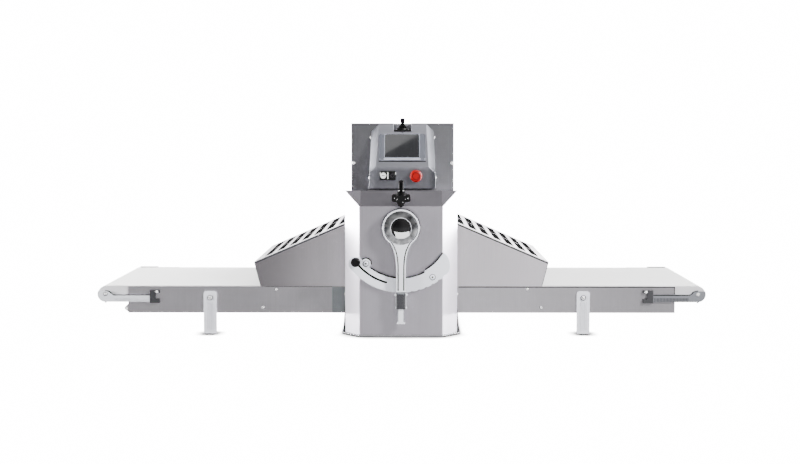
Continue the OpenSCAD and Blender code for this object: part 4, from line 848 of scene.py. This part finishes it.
# Painted shade: a black line under the frame's lower edge.
bezel_shade = bmesh.new()
cut_out(bezel_shade, [rounded(-83.5, -57.4, 83.5, -53, 1)], 0, 0.8, PANEL, 0.2)
piece("display_shade_line", bezel_shade, "frame", shade_black)
piece("display_lip", lip, "frame", clear_edge)
lit_ledge = bmesh.new()
cut_out(lit_ledge, [rounded(-66, -51.6, 64, -46.2, 1)], 3.6, 5.2, PANEL, 0.4)
piece("display_ledge_highlight", lit_ledge, "frame", highlight_edge)

# Black glass: a clean dark mirror with faint smears.
glass_black, tree, shader = finish_of("display_black_glass", "#111215", 0.0, 0.04)
smear = add(tree, "TexNoise", {"Vector": add(tree, "TexCoord").outputs["Object"]}, Scale=24.0, Detail=3.0)
dull = add(tree, "MapRange", {"Value": smear}, From_Min=0.3, From_Max=0.7, To_Min=0.03, To_Max=0.07)
wire(shader, {"Roughness": dull}, Coat_Weight=0.6)
pane = bmesh.new()
cut_out(pane, [rounded(-62, -42, 59, 52, 0.8)], 3.0, 4.5, PANEL, 0.25)
display_pane = piece("display_pane", pane, "frame", glass_black)
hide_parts("display_glass")

# Push buttons.
# One black block holds both: a white start button and a black stop button, each in a ring, with a white
# marking strip between them and one at each end.


def at_panel(x, z):
    """A place on the console's upright face, in mm."""
    return moved(x, FACE_Y, z) @ UPRIGHT


SWITCH_AT, START_AT, STOP_AT = (at_panel(-51 + apart, 482) for apart in (0, -16.5, 16.5))
# Clean white plastic with a soft shine.
white_plastic = moulded("white_plastic", "#ECECEA", 0.3)
# Matt dark grey print.
mark_grey = moulded("mark_grey", "#3A3A3E", 0.4)
block = bmesh.new()
cut_out(block, [rounded(-27.5, -16, 27.5, 16, 3), circle(-16.5, 0, 10), circle(16.5, 0, 10)], 0, 8, SWITCH_AT, 0.8)
turned(block, ((9.8, 0.2), (9.8, 8.6), (10.6, 9.2), (12.2, 8.8), (12.6, 7.6)), STOP_AT, 40)
switch_frame = piece("switch_frame", block, "frame", knob_black)
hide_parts("switch_block")
strips = bmesh.new()
turned(strips, ((9.8, 0.2), (9.8, 8.8), (10.2, 9.2), (10.8, 8.8), (10.9, 7.6)), START_AT, 40)
for x, half, foot in ((-26.8, 1.1, 2), (0, 1.5, -12), (26.8, 1.1, 2)):
    cut_out(strips, [rounded(x - half, foot, x + half, 12, 0.5)], 7.4, 8.9, SWITCH_AT, 0.2)
piece("switch_marks", strips, "frame", white_plastic)

BUTTON = ((0, 4.5), (9.4, 4.5), (9.4, 9.6), (8.6, 10.8), (7.4, 10.9), (6.6, 10.2), (0, 10.0))
ringed = bmesh.new()
turned(ringed, BUTTON, START_AT, 40)
start_cap = piece("start_cap", ringed, "start", white_plastic)
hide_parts("start_button")
mark = bmesh.new()
cut_out(mark, [rounded(-5.2, -1.7, 5.2, 1.7, 0.4)], 9.9, 10.4, START_AT, 0.15)
cut_out(mark, [circle(0, 0, 9.3), circle(0, 0, 8.9)], 10.2, 10.9, START_AT, 0.15)
piece("start_mark", mark, "start", mark_grey)
ringed = bmesh.new()
turned(ringed, BUTTON, STOP_AT, 40)
stop_cap = piece("stop_cap", ringed, "stop_push", knob_black)
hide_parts("stop_button")
mark = bmesh.new()
cut_out(mark, [circle(0, 0, 6.6), circle(0, 0, 5.2)], 9.9, 10.4, STOP_AT, 0.15)
piece("stop_mark", mark, "stop_push", mark_grey)

# Emergency stop.
# A red moulded mushroom head with a raised centre and a groove round it stands on a black collar, which is screwed
# to the console's face.

# Deep signal red with a broad soft shine.
signal_red = moulded("signal_red", "#820000", 0.35, shine=0.3)
# The same red in the groove's shade.
dark_red = moulded("shaded_red", "#480000", 0.4, shine=0.3)
ESTOP = at_panel(48, 481)
collar = bmesh.new()
turned(collar, ((9.4, 0), (9.4, 6.4), (10.2, 7), (13.6, 7), (14.6, 6.2), (15, 4.6), (14.2, 3.8), (14.6, 1.4), (15, 0),
                (9.4, 0)), ESTOP, 60)
stop_collar = piece("emergency_collar", collar, "frame", knob_black)
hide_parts("estop_collar")
head = bmesh.new()
turned(head, ((0, 5.5), (9, 5.5), (9, 13), (20.6, 13.2), (21.5, 14.4), (21.5, 20.5), (20.4, 23.4), (17.6, 25.6),
              (14.2, 26.6), (12.6, 26.5), (11.9, 25.8), (11.2, 26.6), (8, 26.9), (3, 27), (0, 27)), ESTOP, 72)
estop_head = piece("emergency_head", head, "emergency_stop", signal_red)
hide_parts("estop_button")
# Painted shade in the head's groove and at its lower edge.
red_groove_shade = bmesh.new()
turned(red_groove_shade, ((10.9, 26.0), (11.2, 26.9), (13.6, 26.9), (14.0, 26.0)), ESTOP, 72)
turned(red_groove_shade, ((21.2, 13.8), (21.6, 14.2), (21.6, 15.2), (21.2, 15.4)), ESTOP, 72)
piece("emergency_shade", red_groove_shade, "emergency_stop", dark_red)

# Joysticks.
# A ribbed rubber boot closes over a pivot in a black base with two screwed lobes; a collar with two bright
# pins holds the round handle above the boot.

RISE, TIP = math.atan(46 / 77), math.radians(5)
FRONT_STICK = moved(0, -388.5, 433) @ Matrix.Rotation(RISE, 4, "X")
TOP_STICK = moved(0, 357, 638 + 7 * math.tan(TIP)) @ Matrix.Rotation(TIP, 4, "X")
# Seen from the side: an outline in (Y, Z) whose thickness runs along X.
SIDE_ON = Matrix(((0, 0, 1, 0), (1, 0, 0, 0), (0, 1, 0, 0), (0, 0, 0, 1)))
# Matt black rubber with only a breath of light on its ribs.
boot_rubber = moulded("boot_rubber", "#060607", 0.7, 1.2, 0.0004, 0.06)
dress("joystick_bases", knob_black, 0.7)


def bellows(place, length):
    """Boot and handle of a joystick of the given length."""
    top = 4 + length * 0.4
    rib = (top - 8) / 4
    profile = [(0, 8.2), (12.6, 8.2)]
    for i, out in enumerate((0, 2.6, 3.0, 2.4)):
        q, z = 14.5 - i * 2.2 + out, 8 + i * rib
        profile += [(q - 1.2, z + 0.3), (q - 0.2, z + rib * 0.2), (q, z + rib * 0.4), (q - 0.4, z + rib * 0.7),
                    (q - 1.8, z + rib * 0.95)]
    profile += [(7.0, top), (8.4, top + 0.4), (8.4, top + 3.6), (6.2, top + 4.2), (7.4, length - 12),
                (7.9, length - 6), (7.9, length - 4.4), (7.2, length - 2.2), (5.2, length - 1.1), (0, length - 1)]
    made = bmesh.new()
    turned(made, profile, place)
    return made


front_boot = piece("front_boot", bellows(FRONT_STICK, 66), "front_joystick", boot_rubber)
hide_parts("stick_front")
top_boot = piece("top_boot", bellows(TOP_STICK, 46), "top_joystick", boot_rubber)
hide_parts("stick_top")
face_plate = bmesh.new()
lobed = (circle(23, 7, 6, 0, 90, 8) + [(16, 13), (12, 8), (-12, 8), (-16, 13)] + circle(-23, 7, 6, 90, 90, 8)
         + circle(-23, -5, 6.5, 180, 90, 8) + [(-14, -12.5), (-1.5, -28.8), (1.5, -28.8), (14, -12.5)]
         + circle(23, -5, 6.5, 270, 90, 8))
cut_out(face_plate, [lobed], 0, 5, at_front(-429, 435.2), 0.8)
bracket = [(-429.5, 411), (-429.5, 442), (-426, 442), (-408, 421.8), (-427.4, 411)]
cut_out(face_plate, [bracket], -9, 9, SIDE_ON, 0.4)
piece("joystick_plate", face_plate, "frame", knob_black)
plate_screws = bmesh.new()
for x in (-20.6, 21.2):
    turned(plate_screws, ((1.4, 0), (1.4, 0.4), (0.9, 0.9), (0, 1.0)), at_front(-434, 435.2) @ moved(x, 0), 20)
# The three smallest domes are painted glints on the plate.
for x, z in ((-11.8, 431.6), (13, 432.2), (5.8, 423)):
    turned(plate_screws, ((0.9, 0), (0.9, 0.3), (0.5, 0.6), (0, 0.7)), at_front(-434, z) @ moved(x, 0), 14)
piece("joystick_plate_screws", plate_screws, "frame", glint_steel)
pins = bmesh.new()
for x in (-6, 6):
    turned(pins, ((0, 0), (1.9, 0), (1.9, 0.7), (1.3, 1.4), (0, 1.6)),
           FRONT_STICK @ moved(x, -6.4, 32.5) @ UPRIGHT, 16)
piece("boot_pins", pins, "front_joystick", glint_steel)
lobes = bmesh.new()
for x in (-20.4, 20.4):
    turned(lobes, [(q * 0.62, z * 0.7, *flats) for q, z, *flats in SCREW], TOP_STICK @ moved(x, 0, 4), 24)
piece("joystick_screws", lobes, "frame", bright_steel)

# Top pocket.
# The second joystick stands in a pocket folded into the console's top. Its back and side walls are thin steel sheet,
# and a black bar closes its foot in front.

# Steel in the pocket's shade: mid grey and dull.
pocket_steel = brushed("shaded_pocket_steel", "#77777D", 0.5, "x", metallic=0.3)
liner, pocket_bar = bmesh.new(), bmesh.new()
cut_out(pocket_bar, [rounded(-30.5, 0, 30.5, 5.0, 0.6)], 0, 18, moved(0, 344, 637.2) @ UPRIGHT, 0.4)
piece("pocket_foot", pocket_bar, "frame", black_nylon)
cut_out(liner, [rounded(-31.6, 0, 31.6, 23, 0.5)], 0, 0.8, moved(0, 391.6, 641.6) @ UPRIGHT, 0.2)
for side in (-1, 1):
    cut_out(liner, [[(326, 636.6), (391.5, 642), (391.5, 664.6), (341.5, 664.6)]], -0.4, 0.4,
            moved(side * 31.4, 0) @ SIDE_ON, 0.1)
piece("pocket_liner", liner, "frame", pocket_steel)
